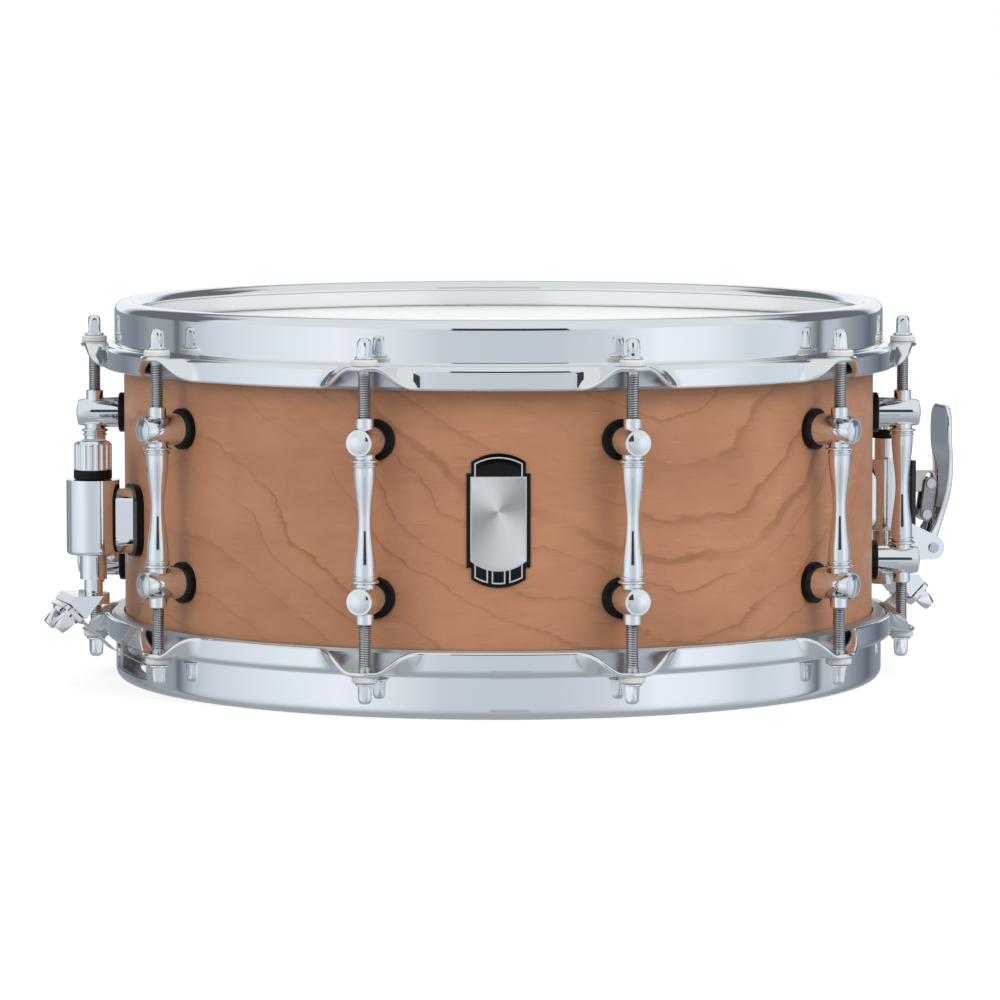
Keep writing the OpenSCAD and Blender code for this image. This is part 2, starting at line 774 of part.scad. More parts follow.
module strainer_yoke() {
  r = link_pin_d / 2 + run_gap;
  x0 = anchor_r + 4;
  low = pin_b[1] - 4.3;
  color("#b8b2a0") at_mid() slab_y(tongue_t / 2) difference() {
    union() {
      box2(x0, pin_b[0], low + 0.3, low + 10.7);
      stadium(pin_b, pin_b + [0, yoke_slack - 1.2], 4);
    }
    stadium(pin_b, pin_b + [0, yoke_slack], r);
  }
}

module link_shape() {
  difference() {
    stadium(pin_a, pin_b, link_w / 2);
    for (p = [pin_a, pin_b]) translate(p) circle(link_pin_d / 2 + 0.02);
  }
}

module strainer_links() {
  color("#8f8a8c") at_mid() for (s = [-1, 1])
    translate([0, s * (link_in + link_t / 2), 0]) slab_y(link_t / 2) link_shape();
}

module link_pins() {
  half = link_in + link_t;
  color("#b9bcc2") at_mid() for (p = [pin_a, pin_b]) {
    bar_pin(link_pin_d / 2, p, half + 0.2);
    for (s = [-1, 1]) translate([0, s * (half + 0.4), 0]) bar_pin(link_pin_d / 2 + 1, p, 0.4);
  }
}

// outer edge of the lever from the side, from its hub to its tip
function lever_edge() = [
  for (k = [0:16]) let (t = k / 16, u = 1 - t)
    u * u * u * [pivot_x + bow_foot_x, pivot_z + bow_foot_z]
    + 3 * u * u * t * [pivot_x + bow_low_x, pivot_z + bow_low_z]
    + 3 * u * t * t * [pivot_x + bow_top_x, pivot_z + bow_top_z]
    + t * t * t * [pivot_x + bow_tip_x, paddle_top]
];
function moved(list, by) = [for (p = list) p + by];

// front outline of the lever: straight between the cheeks, widening to a round paddle
module lever_front(inset) {
  r = paddle_r - inset;
  half = paddle_half - inset;
  waist = lever_half - inset;
  neck = paddle_top - paddle_neck;
  translate([0, paddle_top - paddle_r]) {
    for (s = [-1, 1]) translate([s * (paddle_half - paddle_r), 0]) circle(r);
    square([2 * (paddle_half - paddle_r), 2 * r], center = true);
  }
  polygon([[-half, paddle_top - paddle_r], [half, paddle_top - paddle_r], [half, neck],
    [waist, neck - shoulder_h], [waist, pivot_z - hub_r], [-waist, pivot_z - hub_r],
    [-waist, neck - shoulder_h], [-half, neck]]);
}

module throw_lever() {
  edge = lever_edge();
  inner = [[pivot_x + flange_tip_x, paddle_top], [pivot_x + flange_mid_x, paddle_top - paddle_neck],
    [pivot_x + flange_mid_x, pivot_z + flange_mid_z], [pivot_x + flange_low_x, pivot_z + flange_low_z],
    [pivot_x - 0.6 * hub_r, pivot_z + bow_foot_z]];
  color("#e4e7ec") at_mid() difference() {
    union() {
      difference() {
        intersection() {
          slab_y(wide / 4) union() {
            polygon(concat(edge, inner));
            translate([pivot_x, pivot_z]) circle(hub_r);
          }
          slab_x(pivot_x - wide / 8, pivot_x + wide / 8) lever_front(0);
        }
        intersection() {
          slab_y(wide / 4) polygon(concat(moved(edge, [-lever_wall, 0]),
            [[pivot_x - 2 * hub_r, paddle_top], [pivot_x - 2 * hub_r, pivot_z - 2 * hub_r],
             [pivot_x + hub_r + past, pivot_z - 2 * hub_r]]));
          slab_x(pivot_x - wide / 8, pivot_x + wide / 8) difference() {
            lever_front(lever_wall);
            box2(-wide, wide, pivot_z - wide, pivot_z - hub_r - past);
          }
        }
      }
      slab_y(tongue_t / 2) stadium(pin_a, [pivot_x + 6.6, pin_a[1] + 0.6], link_pin_d / 2 + 1.6);
      bar_pin(hub_r - 1.2, [pivot_x, pivot_z], lever_half - lever_wall / 2);
    }
    bar_pin(pivot_d / 2 + pin_gap, [pivot_x, pivot_z], 2 * lever_half);
    bar_pin(link_pin_d / 2 + pin_gap, pin_a, 2 * lever_half);
  }
}

// knobs: fluted band with a dome, and a threaded stem that turns in the hanger
module knob(ring_z, stem_z) {
  z0 = ring_z + ring_h;
  translate([anchor_r, 0, 0]) {
    difference() {
      rotate_extrude() {
        box2(0, knob_d / 2, z0, z0 + knob_h);
        polygon([[0, z0 + knob_h], [knob_d / 2, z0 + knob_h],
          [knob_d / 2 - 0.8 * dome_h, z0 + knob_h + 0.7 * dome_h],
          [knob_d / 2 - 1.7 * dome_h, z0 + knob_h + dome_h], [0, z0 + knob_h + dome_h]]);
      }
      for (i = [0:flutes - 1]) rotate(i * 360 / flutes)
        translate([knob_d / 2 + flute_out, 0, z0 + flute_rise])
          cylinder(h = knob_h + dome_h, d = flute_d, $fn = 24);
    }
    translate([0, 0, stem_z]) cylinder(h = z0 - stem_z, d = stem_d);
  }
}

module knob_ring(z) {
  difference() {
    cyl_z(anchor_r, z, z + ring_h, knob_d);
    cyl_z(anchor_r, z - past, z + ring_h + past, stem_d + 0.1);
  }
}

// hanger: a round rod with the clamp block at its foot
module hanger(block_top, rod_top) {
  difference() {
    union() {
      cyl_z(anchor_r, block_top, rod_top, hanger_d);
      cyl_z(anchor_r, block_top - boss_h, block_top, boss_d);
      translate([anchor_r, 0, block_top]) slab_y(block_half)
        polygon([[-clamp_back, 0], [clamp_reach - clamp_chamfer, 0], clamp_nose, clamp_heel]);
    }
    cyl_z(anchor_r, rod_top - stem_l - hanger_free, rod_top + past, stem_bore);
    clamp_frame(block_top) for (s = [-1, 1]) translate([clamp_l / 2, s * clamp_screw_y, -past])
      cylinder(h = clamp_hole + past, d = clamp_screw_d + 0.1);
  }
}

// frame of a clamp's slanted face: x up the slope from its heel, z into the block
module clamp_frame(block_top) {
  translate([anchor_r + clamp_heel[0], 0, block_top + clamp_heel[1]]) rotate([0, -clamp_tilt, 0]) children();
}

module clamp_plate(block_top) {
  clamp_frame(block_top) difference() {
    translate([clamp_l / 2, 0, -clamp_gap - clamp_plate_t]) linear_extrude(clamp_plate_t)
      round_rect(clamp_l + 1, 2 * block_half, 2.5);
    for (s = [-1, 1]) translate([clamp_l / 2, s * clamp_screw_y, -wide / 8])
      cylinder(h = wide / 8, d = clamp_screw_d + 0.4);
  }
}

module clamp_screws(block_top) {
  seat = clamp_gap + clamp_plate_t;
  clamp_frame(block_top) for (s = [-1, 1]) translate([clamp_l / 2, s * clamp_screw_y, 0]) {
    translate([0, 0, -seat]) cylinder(h = seat + clamp_hole - 0.5, d = clamp_screw_d);
    translate([0, 0, -seat - 1.2]) cylinder(h = 1.2, d = 9);
    translate([0, 0, -seat - 1.2]) mirror([0, 0, 1]) intersection() {
      translate([-key_side / 2, -key_side / 2, 0]) cube([key_side, key_side, key_h - 1]);
      cylinder(h = key_h - 1, d1 = key_side * 1.5, d2 = key_side * 0.9);
    }
  }
}

module strainer_hanger() {
  color("#cfd3db") at_mid() hanger(strainer_block_top, piston_bot - hanger_free);
}
module strainer_clamp_plate() { color("#c2c6ce") at_mid() clamp_plate(strainer_block_top); }
module strainer_clamp_screws() { color("#b4b8c0") at_mid() clamp_screws(strainer_block_top); }
module strainer_knob() {
  color("#c6cad2") at_mid() knob(piston_neck_top + seat_gap, piston_bot - hanger_free - stem_l);
}
module strainer_knob_ring() { color("#161617") at_mid() knob_ring(piston_neck_top + seat_gap); }
module butt_hanger() { color("#cfd3db") at_mid() rotate(180) hanger(butt_block_top, butt_hanger_top); }
module butt_clamp_plate() { color("#c2c6ce") at_mid() rotate(180) clamp_plate(butt_block_top); }
module butt_clamp_screws() { color("#b4b8c0") at_mid() rotate(180) clamp_screws(butt_block_top); }
module butt_knob() {
  color("#c6cad2") at_mid() rotate(180) knob(housing_top + seat_gap, butt_hanger_top - stem_l);
}
module butt_knob_ring() { color("#161617") at_mid() rotate(180) knob_ring(housing_top + seat_gap); }

// ---- snares ----

module snare_wires() {
  color("#9b9ea4") at_mid() for (i = [0:wire_count - 1])
    bar_x(-wire_l / 2, wire_l / 2, coil_d, wire_z, (i - (wire_count - 1) / 2) * wire_pitch, $fn = 24);
}

module snare_end_plates() {
  color("#b08d57") at_mid() for (a = [0, 180]) rotate(a)
    translate([wire_l / 2 - 2, -plate_w / 2, plate_z]) cube([plate_l, plate_w, plate_t]);
}

// a strap runs under the end plate, through the gate and up into the clamp
function strap_route(block_top) =
  let (slope = [cos(clamp_tilt), sin(clamp_tilt)], n = [sin(clamp_tilt), -cos(clamp_tilt)],
    heel = [anchor_r, block_top] + clamp_heel + n * clamp_gap / 2)
  [
    [wire_l / 2 + 1, strap_z], [shell_r - 4, strap_z], [wall_out + 7.6, -flange_top - 2.1],
    heel - slope * 2, heel + slope * (clamp_l - 1)
  ];

// corners of a band of thickness t along a route, with mitred bends
function side(route, t) = [
  for (i = [0:len(route) - 1])
    let (a = route[max(i - 1, 0)], b = route[min(i + 1, len(route) - 1)], p = route[i],
      d0 = i == 0 ? (b - p) / norm(b - p) : (p - a) / norm(p - a),
      d1 = i == len(route) - 1 ? d0 : (b - p) / norm(b - p),
      n0 = [-d0[1], d0[0]], n1 = [-d1[1], d1[0]], m = n0 + n1)
      p + m * t / (m * n0)
];

module strap(block_top) {
  route = strap_route(block_top);
  slab_y(strap_w / 2) polygon(concat(side(route, strap_t / 2), reversed(side(route, -strap_t / 2))));
}

module strainer_strap() { color("#dcdcdc") at_mid() strap(strainer_block_top); }
module butt_strap() { color("#dcdcdc") at_mid() rotate(180) strap(butt_block_top); }

shell();
vent_grommet();
badge_plate();
batter_head();
batter_flesh_hoop();
batter_hoop();
snare_side_head();
snare_side_flesh_hoop();
snare_side_hoop();
tube_lugs();
lug_gaskets();
lug_screws();
rod_washers();
strainer_housing();
strainer_gasket();
strainer_bracket();
strainer_guide();
lever_pin();
anchor_screws();
butt_housing();
butt_gasket();
snare_wires();
snare_end_plates();
butt_strap();
strainer_strap();
strainer_piston();
strainer_yoke();
strainer_hanger();
strainer_clamp_plate();
strainer_clamp_screws();
strainer_knob();
strainer_knob_ring();
throw_lever();
strainer_links();
link_pins();
butt_hanger();
butt_clamp_plate();
butt_clamp_screws();
butt_knob();
butt_knob_ring();
batter_rod(1);  // batter_rod_01
batter_rod(2);  // batter_rod_02
batter_rod(3);  // batter_rod_03
batter_rod(4);  // batter_rod_04
batter_rod(5);  // batter_rod_05
batter_rod(6);  // batter_rod_06
batter_rod(7);  // batter_rod_07
batter_rod(8);  // batter_rod_08
batter_rod(9);  // batter_rod_09
batter_rod(10);  // batter_rod_10
snare_rod(1);  // snare_rod_01
snare_rod(2);  // snare_rod_02
snare_rod(3);  // snare_rod_03
snare_rod(4);  // snare_rod_04
snare_rod(5);  // snare_rod_05
snare_rod(6);  // snare_rod_06
snare_rod(7);  // snare_rod_07
snare_rod(8);  // snare_rod_08
snare_rod(9);  // snare_rod_09
snare_rod(10);  // snare_rod_10
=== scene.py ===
"""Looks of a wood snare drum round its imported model: shapes, finishes, studio and camera.

Lengths are worked out in millimetres, with heights counted from the drum's mid plane, and
become metres when a mesh is made. The strainer's side is +X and the butt's side is -X.
"""

import collections
import math
import types

import bpy
import numpy as np
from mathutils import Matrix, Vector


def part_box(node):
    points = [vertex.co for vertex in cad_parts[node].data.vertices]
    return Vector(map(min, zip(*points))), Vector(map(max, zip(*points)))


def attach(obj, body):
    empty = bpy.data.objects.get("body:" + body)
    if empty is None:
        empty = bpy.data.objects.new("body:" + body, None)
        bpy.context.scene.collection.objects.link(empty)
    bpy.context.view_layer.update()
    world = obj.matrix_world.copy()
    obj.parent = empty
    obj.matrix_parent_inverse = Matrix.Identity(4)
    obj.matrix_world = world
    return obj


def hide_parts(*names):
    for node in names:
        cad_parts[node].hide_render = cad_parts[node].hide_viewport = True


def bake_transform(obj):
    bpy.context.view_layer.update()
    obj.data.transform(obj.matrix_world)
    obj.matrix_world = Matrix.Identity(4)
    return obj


bl_info = {
    "name": "Snare drum looks",
    "version": (1, 0, 0),
    "blender": (4, 5, 0),
    "location": "View3D > Sidebar > Snare drum",
    "description": "Detailed shapes and finishes for a wood snare drum",
    "category": "Object",
}

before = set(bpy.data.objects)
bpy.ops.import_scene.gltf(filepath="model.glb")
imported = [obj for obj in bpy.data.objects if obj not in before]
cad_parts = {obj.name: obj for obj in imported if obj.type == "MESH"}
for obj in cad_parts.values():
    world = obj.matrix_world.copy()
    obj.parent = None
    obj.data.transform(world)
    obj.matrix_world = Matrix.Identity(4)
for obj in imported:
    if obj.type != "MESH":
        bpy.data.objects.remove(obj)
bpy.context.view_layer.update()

TAU = 2 * math.pi
MID = 500 * sum(corner[2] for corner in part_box("shell"))  # the mid plane's height


def span(node):
    """Lowest and highest corner of a CAD node, in millimetres from the mid plane."""
    return [np.array(corner) * 1000 - (0, 0, MID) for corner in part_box(node)]


SHELL_R = span("shell")[1][0]
EDGE_Z = span("shell")[1][2]
CREST_Z = span("batter_hoop")[1][2]
LUGS = np.radians(18 + 36 * np.arange(10))
BADGE_AT = math.radians(252)
CAMERA_AT = math.radians(-18)
ROD_R = SHELL_R + 14.4
ANCHOR_R = SHELL_R + 20.7
POST_Z = 35.3
FLANGE_Z = 69.1  # top face of the hoops' flange, under the nylon washers
SEAT_Z = 72.2  # where a rod's collar sits on its washer
EAR_R = 187  # radius on which the ears' lengths are measured
LEVER_PIVOT = (ANCHOR_R + 21.2, 0, -35.3)
ARCH_CHORD = 12.2  # half the chord on which the badge's arches are struck

# The studio as mirrors see it: degrees from the camera, to the right, and the tone there
STUDIO_RING = (
    (-180, "#8d959c"), (-150, "#828b93"), (-138, "#757c83"), (-125, "#979da1"),
    (-113, "#8f979c"), (-110.5, "#575f64"), (-108, "#8a9297"), (-103, "#b4bcc1"),
    (-96, "#c6cdd4"), (-80, "#d5dae3"), (-64, "#dde5ea"), (-48, "#e7eaf2"),
    (-32, "#d8dee3"), (-16, "#c3cad1"), (0, "#bec6cc"), (16, "#bfc6cd"), (32, "#c9ced6"),
    (48, "#e6ecf3"), (64, "#e2e7ef"), (80, "#cbd3d9"), (97, "#d1d8e2"), (103, "#c6cbd5"),
    (107, "#8d9296"), (110, "#5e636a"), (113, "#b2bac1"), (120, "#b5bbc4"),
    (124, "#9ca1a5"), (134, "#848a96"), (146, "#5d6470"), (155, "#7d858f"),
    (180, "#8d959f"))


# ---- settings ----


def length(name, text, millimetres):
    """A length shown in the panel, kept in metres as Blender keeps its lengths."""
    return bpy.props.FloatProperty(
        name=name, description=text, default=millimetres / 1000, unit="LENGTH",
        subtype="DISTANCE", precision=5)


def tint(name, text, code):
    """A colour shown in the panel, given as an sRGB hex code and kept linear."""
    return bpy.props.FloatVectorProperty(
        name=name, description=text, default=linear(code), size=3, min=0, max=1,
        subtype="COLOR")


def linear(code):
    """Linear red, green and blue of an sRGB hex code."""
    parts = np.array([int(code[i:i + 2], 16) for i in (1, 3, 5)]) / 255
    return tuple(float(c) for c in np.where(
        parts <= 0.04045, parts / 12.92, ((parts + 0.055) / 1.055) ** 2.4))


class DrumSizes(bpy.types.PropertyGroup):
    """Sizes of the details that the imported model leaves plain."""

    hoop_t: length("Hoop sheet", "Thickness of the hoops' sheet", 2.3)
    curl_in: length("Curl reach", "How far the rim curls in past the wall", 6.05)
    wall_mid: length("Hoop wall radius", "Radius of the middle of the hoops' wall", 181.05)
    skirt_mid: length("Hoop skirt radius", "Radius of the middle of the hoops' skirt", 186.35)
    bend_r: length("Skirt bend", "Radius of the bend over the skirt", 1.55)
    sheet_run: length("Skirt run", "Sheet from the flange's end to the skirt's edge", 9.7)
    ear_run: length("Ear run", "How much further the sheet runs at an ear", 3.2)
    ear_half: length("Ear half width", "Half width of the flat part of an ear", 5.5)
    ear_fade: length("Ear fade", "Length over which an ear turns into the skirt", 20)
    gate_half: length("Gate half width", "Half width of the snare gates", 26.5)
    thread_pitch: length("Thread pitch", "Pitch of the tension rods' thread", 1.058)
    thread_depth: length("Thread depth", "Depth of the tension rods' thread", 0.5)
    rod_d: length("Rod diameter", "Outer diameter of the tension rods", 5.9)
    key_half: length("Key half width", "Half width of the square drum-key heads", 2.95)
    washer_d: length("Washer diameter", "Diameter of the nylon washers", 12)
    tube_d: length("Tube diameter", "Diameter of a lug's tube at its ends", 10.2)
    waist_d: length("Waist diameter", "Diameter of a lug's tube at its waist", 6.2)
    post_d: length("Post diameter", "Diameter of a lug's posts", 13.1)
    gasket_d: length("Lug gasket", "Diameter of the rubber rings under the posts", 18.9)
    knob_d: length("Knob diameter", "Diameter of the fluted adjuster knobs", 17.9)
    coil_d: length("Coil diameter", "Outer diameter of a snare coil", 2)
    coil_pitch: length("Coil pitch", "Advance of a snare coil in one turn", 2)
    badge_t: length("Badge thickness", "Thickness of the shell's badge", 1)
    edge_soft: length("Edge softness", "Width of the rounding on cast and cut edges", 0.35)


class DrumColours(bpy.types.PropertyGroup):
    """Colours of the drum's finishes."""

    wood_light: tint("Cherry, light", "Early wood of the cherry veneer", "#bd8662")
    wood_dark: tint("Cherry, dark", "Late wood lines of the cherry veneer", "#8c5c40")
    chrome: tint("Chrome", "Reflection colour of the chrome plate", "#eef0f2")
    steel: tint("Plated steel", "Reflection colour of rods and screws", "#c9cbd0")
    coated: tint("Coated film", "Sprayed coating of the batter head", "#eef1ef")
    rubber: tint("Rubber", "Gaskets and rings", "#060606")
    nylon: tint("Nylon", "Washers under the key heads", "#dedfdc")
    enamel: tint("Badge enamel", "Dark ground of the badge", "#050505")
    brass: tint("Brass", "Snare end plates", "#b3955c")


def measures():
    """The panel's sizes in millimetres."""
    group = bpy.context.scene.drum_sizes
    return types.SimpleNamespace(
        **{key: getattr(group, key) * 1000 for key in DrumSizes.__annotations__})


# ---- shapes ----

# co: corners; loops: corner numbers, face after face; counts: how many corners each face has
Shape = collections.namedtuple("Shape", "co loops counts")


def grid(points, wrap_u=False, wrap_v=False):
    """A surface of two parameters: rows run along u and columns along v, and each face
    joins four neighbours."""
    rows, columns = points.shape[:2]
    index = np.arange(rows * columns).reshape(rows, columns)
    if wrap_u:
        index = np.concatenate([index, index[:1]])
    if wrap_v:
        index = np.concatenate([index, index[:, :1]], axis=1)
    faces = np.stack(
        [index[:-1, :-1], index[1:, :-1], index[1:, 1:], index[:-1, 1:]], -1)
    return Shape(points.reshape(-1, 3), faces.reshape(-1), np.full(faces[..., 0].size, 4))


def face(points):
    """One flat face with the given corners."""
    return Shape(np.asarray(points, float), np.arange(len(points)), np.array([len(points)]))


def join(*shapes):
    """Several shapes as one, their corner numbers moved on."""
    starts = np.cumsum([0] + [len(shape.co) for shape in shapes[:-1]])
    return Shape(
        np.concatenate([shape.co for shape in shapes]),
        np.concatenate([shape.loops + start for shape, start in zip(shapes, starts)]),
        np.concatenate([shape.counts for shape in shapes]))


def next_corner(counts):
    """For each place in loops, the place of the next corner of the same face."""
    ends = np.cumsum(counts)
    after = np.arange(1, counts.sum() + 1)
    after[ends - 1] = ends - counts
    return after


def weld(shape, near=0.002):
    """Corners that share a place become one, and a face drops the corners it repeats."""
    _, first, back = np.unique(
        np.round(shape.co / near).astype(np.int64), axis=0, return_index=True,
        return_inverse=True)
    loops = back.reshape(-1)[shape.loops]
    number = np.repeat(np.arange(len(shape.counts)), shape.counts)
    keep = loops != loops[next_corner(shape.counts)]
    counts = np.bincount(number[keep], minlength=len(shape.counts))
    keep &= (counts >= 3)[number]
    return Shape(shape.co[first], loops[keep], counts[counts >= 3])


def outward(shape):
    """Turns all faces round where the volume they bound comes out negative."""
    co, loops, counts = shape
    start = np.repeat(np.cumsum(counts) - counts, counts)
    a, b, c = co[loops[start]], co[loops], co[loops[next_corner(counts)]]
    if np.einsum("ij,ij->", a, np.cross(b, c)) < 0:
        return Shape(co, loops[::-1], counts[::-1])
    return shape


def placed(shape, origin=(0, 0, 0), x=(1, 0, 0), y=(0, 1, 0), z=(0, 0, 1)):
    """The shape carried to new axes; a mirrored one has its faces turned back."""
    axes = np.array([x, y, z], float)
    co = shape.co @ axes + np.array(origin, float)
    if np.linalg.det(axes) < 0:
        return Shape(co, shape.loops[::-1], shape.counts[::-1])
    return Shape(co, shape.loops, shape.counts)


def spun(shape, angle):
    """The shape turned about the drum's axis."""
    c, s = math.cos(angle), math.sin(angle)
    return placed(shape, x=(c, s, 0), y=(-s, c, 0))


def flipped(shape):
    """The shape mirrored in the drum's mid plane."""
    return placed(shape, z=(0, 0, -1))


def both(shape):
    """The shape and its mirror image in the mid plane."""
    return join(shape, flipped(shape))


def unit(v):
    """Vectors of length one along the last axis."""
    return v / np.maximum(np.linalg.norm(v, axis=-1, keepdims=True), 1e-12)


def rounded(corners, radius, steps=4, closed=False):
    """Each corner of a plane path becomes an arc that touches both its sides, with a point a
    little before and after it so that the sides stay flat when shaded."""
    p = np.asarray(corners, float)
    r = np.broadcast_to(np.asarray(radius, float), len(p)).copy()
    if not closed:
        r[[0, -1]] = 0
    u, w = np.roll(p, 1, 0) - p, np.roll(p, -1, 0) - p
    room = 0.45 * np.minimum(np.linalg.norm(u, axis=1), np.linalg.norm(w, axis=1))
    u, w = unit(u), unit(w)
    half = np.arccos(np.clip((u * w).sum(1), -1, 1)) / 2
    half = np.clip(half, 0.02, math.pi / 2 - 1e-4)
    r = np.minimum(r, room * np.tan(half))
    cut = (r / np.tan(half))[:, None]
    centre = p + unit(u + w + 1e-9) * (r / np.sin(half))[:, None]
    start, end = p + u * cut, p + w * cut
    turn = (math.pi - 2 * half)[:, None, None]
    t = np.linspace(0, 1, steps + 1)[None, :, None]
    arc = centre[:, None] + (
        np.sin(turn * (1 - t)) * (start - centre)[:, None]
        + np.sin(turn * t) * (end - centre)[:, None]) / np.sin(turn)
    hold = 0.12 * r[:, None]
    path = np.concatenate([(start + u * hold)[:, None], arc, (end + w * hold)[:, None]], 1)
    path = path.reshape(-1, p.shape[1])
    step = np.linalg.norm(np.diff(path, axis=0, prepend=path[-1:]), axis=1)
    step[0] += 0 if closed else 1
    return path[step > 1e-6]


def dense(path, step):
    """A closed path with more points on its long sides: every side is cut into equal parts
    no longer than the step."""
    after = np.roll(path, -1, 0)
    parts = np.maximum(np.ceil(np.linalg.norm(after - path, axis=1) / step), 1).astype(int)
    share = (np.arange(parts.sum()) - np.repeat(np.cumsum(parts) - parts, parts))
    share = (share / np.repeat(parts, parts))[:, None]
    return np.repeat(path, parts, 0) * (1 - share) + np.repeat(after, parts, 0) * share


def turned(profile, count, ring=False, start=0.0):
    """A body of revolution: every point (r, z) of the profile goes round the Z axis, so
    x = r cos a and y = r sin a. A ring's profile is a closed loop, another runs pole to pole."""
    r, z = np.asarray(profile, float).T
    a = start + np.arange(count) * TAU / count
    points = np.stack(
        [np.outer(r, np.cos(a)), np.outer(r, np.sin(a)), np.outer(z, np.ones(count))], -1)
    return outward(weld(grid(points, wrap_u=ring, wrap_v=True)))


def radial(radius, z):
    """A closed body whose distance from the Z axis is a function of height and angle: rows
    of radius are heights, columns are angles, and both ends close at a pole."""
    a = np.arange(radius.shape[1]) * TAU / radius.shape[1]
    points = np.stack([radius * np.cos(a), radius * np.sin(a), z + 0 * radius], -1)
    return outward(weld(grid(points, wrap_v=True)))


def prism(outline, low, high):
    """A plane outline (x, y) raised from one height to another, closed by two faces."""
    flat = np.asarray(outline, float)
    rows = [np.column_stack([flat, np.full(len(flat), z)]) for z in (low, high)]
    wall = grid(np.array(rows), wrap_v=True)
    return outward(weld(join(wall, face(rows[0]), face(rows[1][::-1]))))


def tube(path, radius, sides):
    """A round wire: at each point of the path a ring of points stands square to its course."""
    ahead = unit(np.gradient(path, axis=0))
    side = unit(np.cross(ahead, (0, 0, 1.0)) + 1e-9)
    up = np.cross(side, ahead)
    a = np.arange(sides) * TAU / sides
    ring = (side[:, None] * np.cos(a)[None, :, None] + up[:, None] * np.sin(a)[None, :, None])
    rows = path[:, None] + radius * ring
    return outward(join(grid(rows, wrap_v=True), face(rows[0]), face(rows[-1][::-1])))


def sheet(middle, thickness, wrap_v=True, window=None):
    """A sheet round a middle surface: both skins stand half the thickness off it, square to
    it, and half circles close its first and last rows. A window (row, row, columns) is cut
    through both skins and lined."""
    rows, columns = middle.shape[:2]
    around = np.concatenate([middle[:, -1:], middle, middle[:, :1]], 1) if wrap_v else middle
    across = np.gradient(around, axis=1)
    if wrap_v:
        across = across[:, 1:-1]
    normal = unit(np.cross(np.gradient(middle, axis=0), across))
    half = thickness / 2

    def lip(row, beyond):
        out = unit(middle[row] - middle[beyond])
        out = unit(out - normal[row] * (out * normal[row]).sum(-1, keepdims=True))
        a = np.radians([60, 30, 0, -30, -60])[:, None, None]
        return middle[row] + half * (np.sin(a) * normal[row] + np.cos(a) * out)

    points = np.concatenate([
        middle + half * normal, lip(-1, -2), (middle - half * normal)[::-1],
        lip(0, 1)[::-1]])
    shape = grid(points, wrap_u=True, wrap_v=wrap_v)
    if not wrap_v:
        edge = points[:, 0], points[::-1, -1]
        return outward(join(shape, face(edge[0]), face(edge[1])))
    if window is None:
        return outward(shape)
    top, bottom, cut = window
    far = 2 * rows + 4  # an inner skin's row mirrors the outer one
    faces = shape.loops.reshape(-1, columns, 4)
    gone = np.zeros(faces.shape[:2], bool)
    gone[top:bottom, cut] = True
    gone[far - bottom:far - top, cut] = True
    number = lambda row, column: row * columns + column % columns
    linings = []
    for first, last in runs(cut):
        along = np.arange(first, last)
        down = np.arange(top, bottom)
        a = np.concatenate([
            np.stack([number(top, along + 1), number(top, along)], -1),
            np.stack([number(bottom, along), number(bottom, along + 1)], -1),
            np.stack([number(down, first), number(down + 1, first)], -1),
            np.stack([number(down + 1, last), number(down, last)], -1)])
        linings.append(a)
    edges = np.concatenate(linings)
    inner = (far - edges // columns) * columns + edges % columns
    lining = np.stack([edges[:, 0], edges[:, 1], inner[:, 1], inner[:, 0]], -1)
    kept = np.concatenate([faces[~gone], lining])
    return outward(Shape(shape.co, kept.reshape(-1), np.full(len(kept), 4)))


def runs(numbers):
    """First and one past the last of each stretch of neighbouring whole numbers."""
    numbers = np.asarray(numbers)
    breaks = np.flatnonzero(np.diff(numbers) != 1)
    firsts = numbers[np.concatenate([[0], breaks + 1])]
    lasts = numbers[np.concatenate([breaks, [len(numbers) - 1]])]
    return zip(firsts, lasts + 1)


def smooth(x, low, high):
    """Rises from 0 to 1 between low and high, level at both ends: 3t^2 - 2t^3."""
    t = np.clip((x - low) / (high - low), 0, 1)
    return t * t * (3 - 2 * t)


# ---- pieces ----


def piece(name, shape, body, finish, slot, *nodes, sharp=38):
    """Makes a piece from a shape in millimetres from the mid plane, and joins it to its body
    if one is given."""
    mesh = bpy.data.meshes.new(name)
    co, loops, counts = shape
    mesh.vertices.add(len(co))
    mesh.vertices.foreach_set("co", ((co + (0, 0, MID)) / 1000).astype(np.float32).ravel())
    mesh.loops.add(len(loops))
    mesh.loops.foreach_set("vertex_index", loops.astype(np.int32))
    mesh.polygons.add(len(counts))
    mesh.polygons.foreach_set("loop_start", (np.cumsum(counts) - counts).astype(np.int32))
    mesh.update(calc_edges=True)
    mesh.validate()
    mesh.shade_smooth()
    mesh.set_sharp_from_angle(angle=math.radians(sharp))
    mesh.materials.append(finish)
    made = bpy.data.objects.new(name, mesh)
    bpy.context.scene.collection.objects.link(made)
    if body:
        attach(made, body)
    if nodes:
        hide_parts(*nodes)
    return made


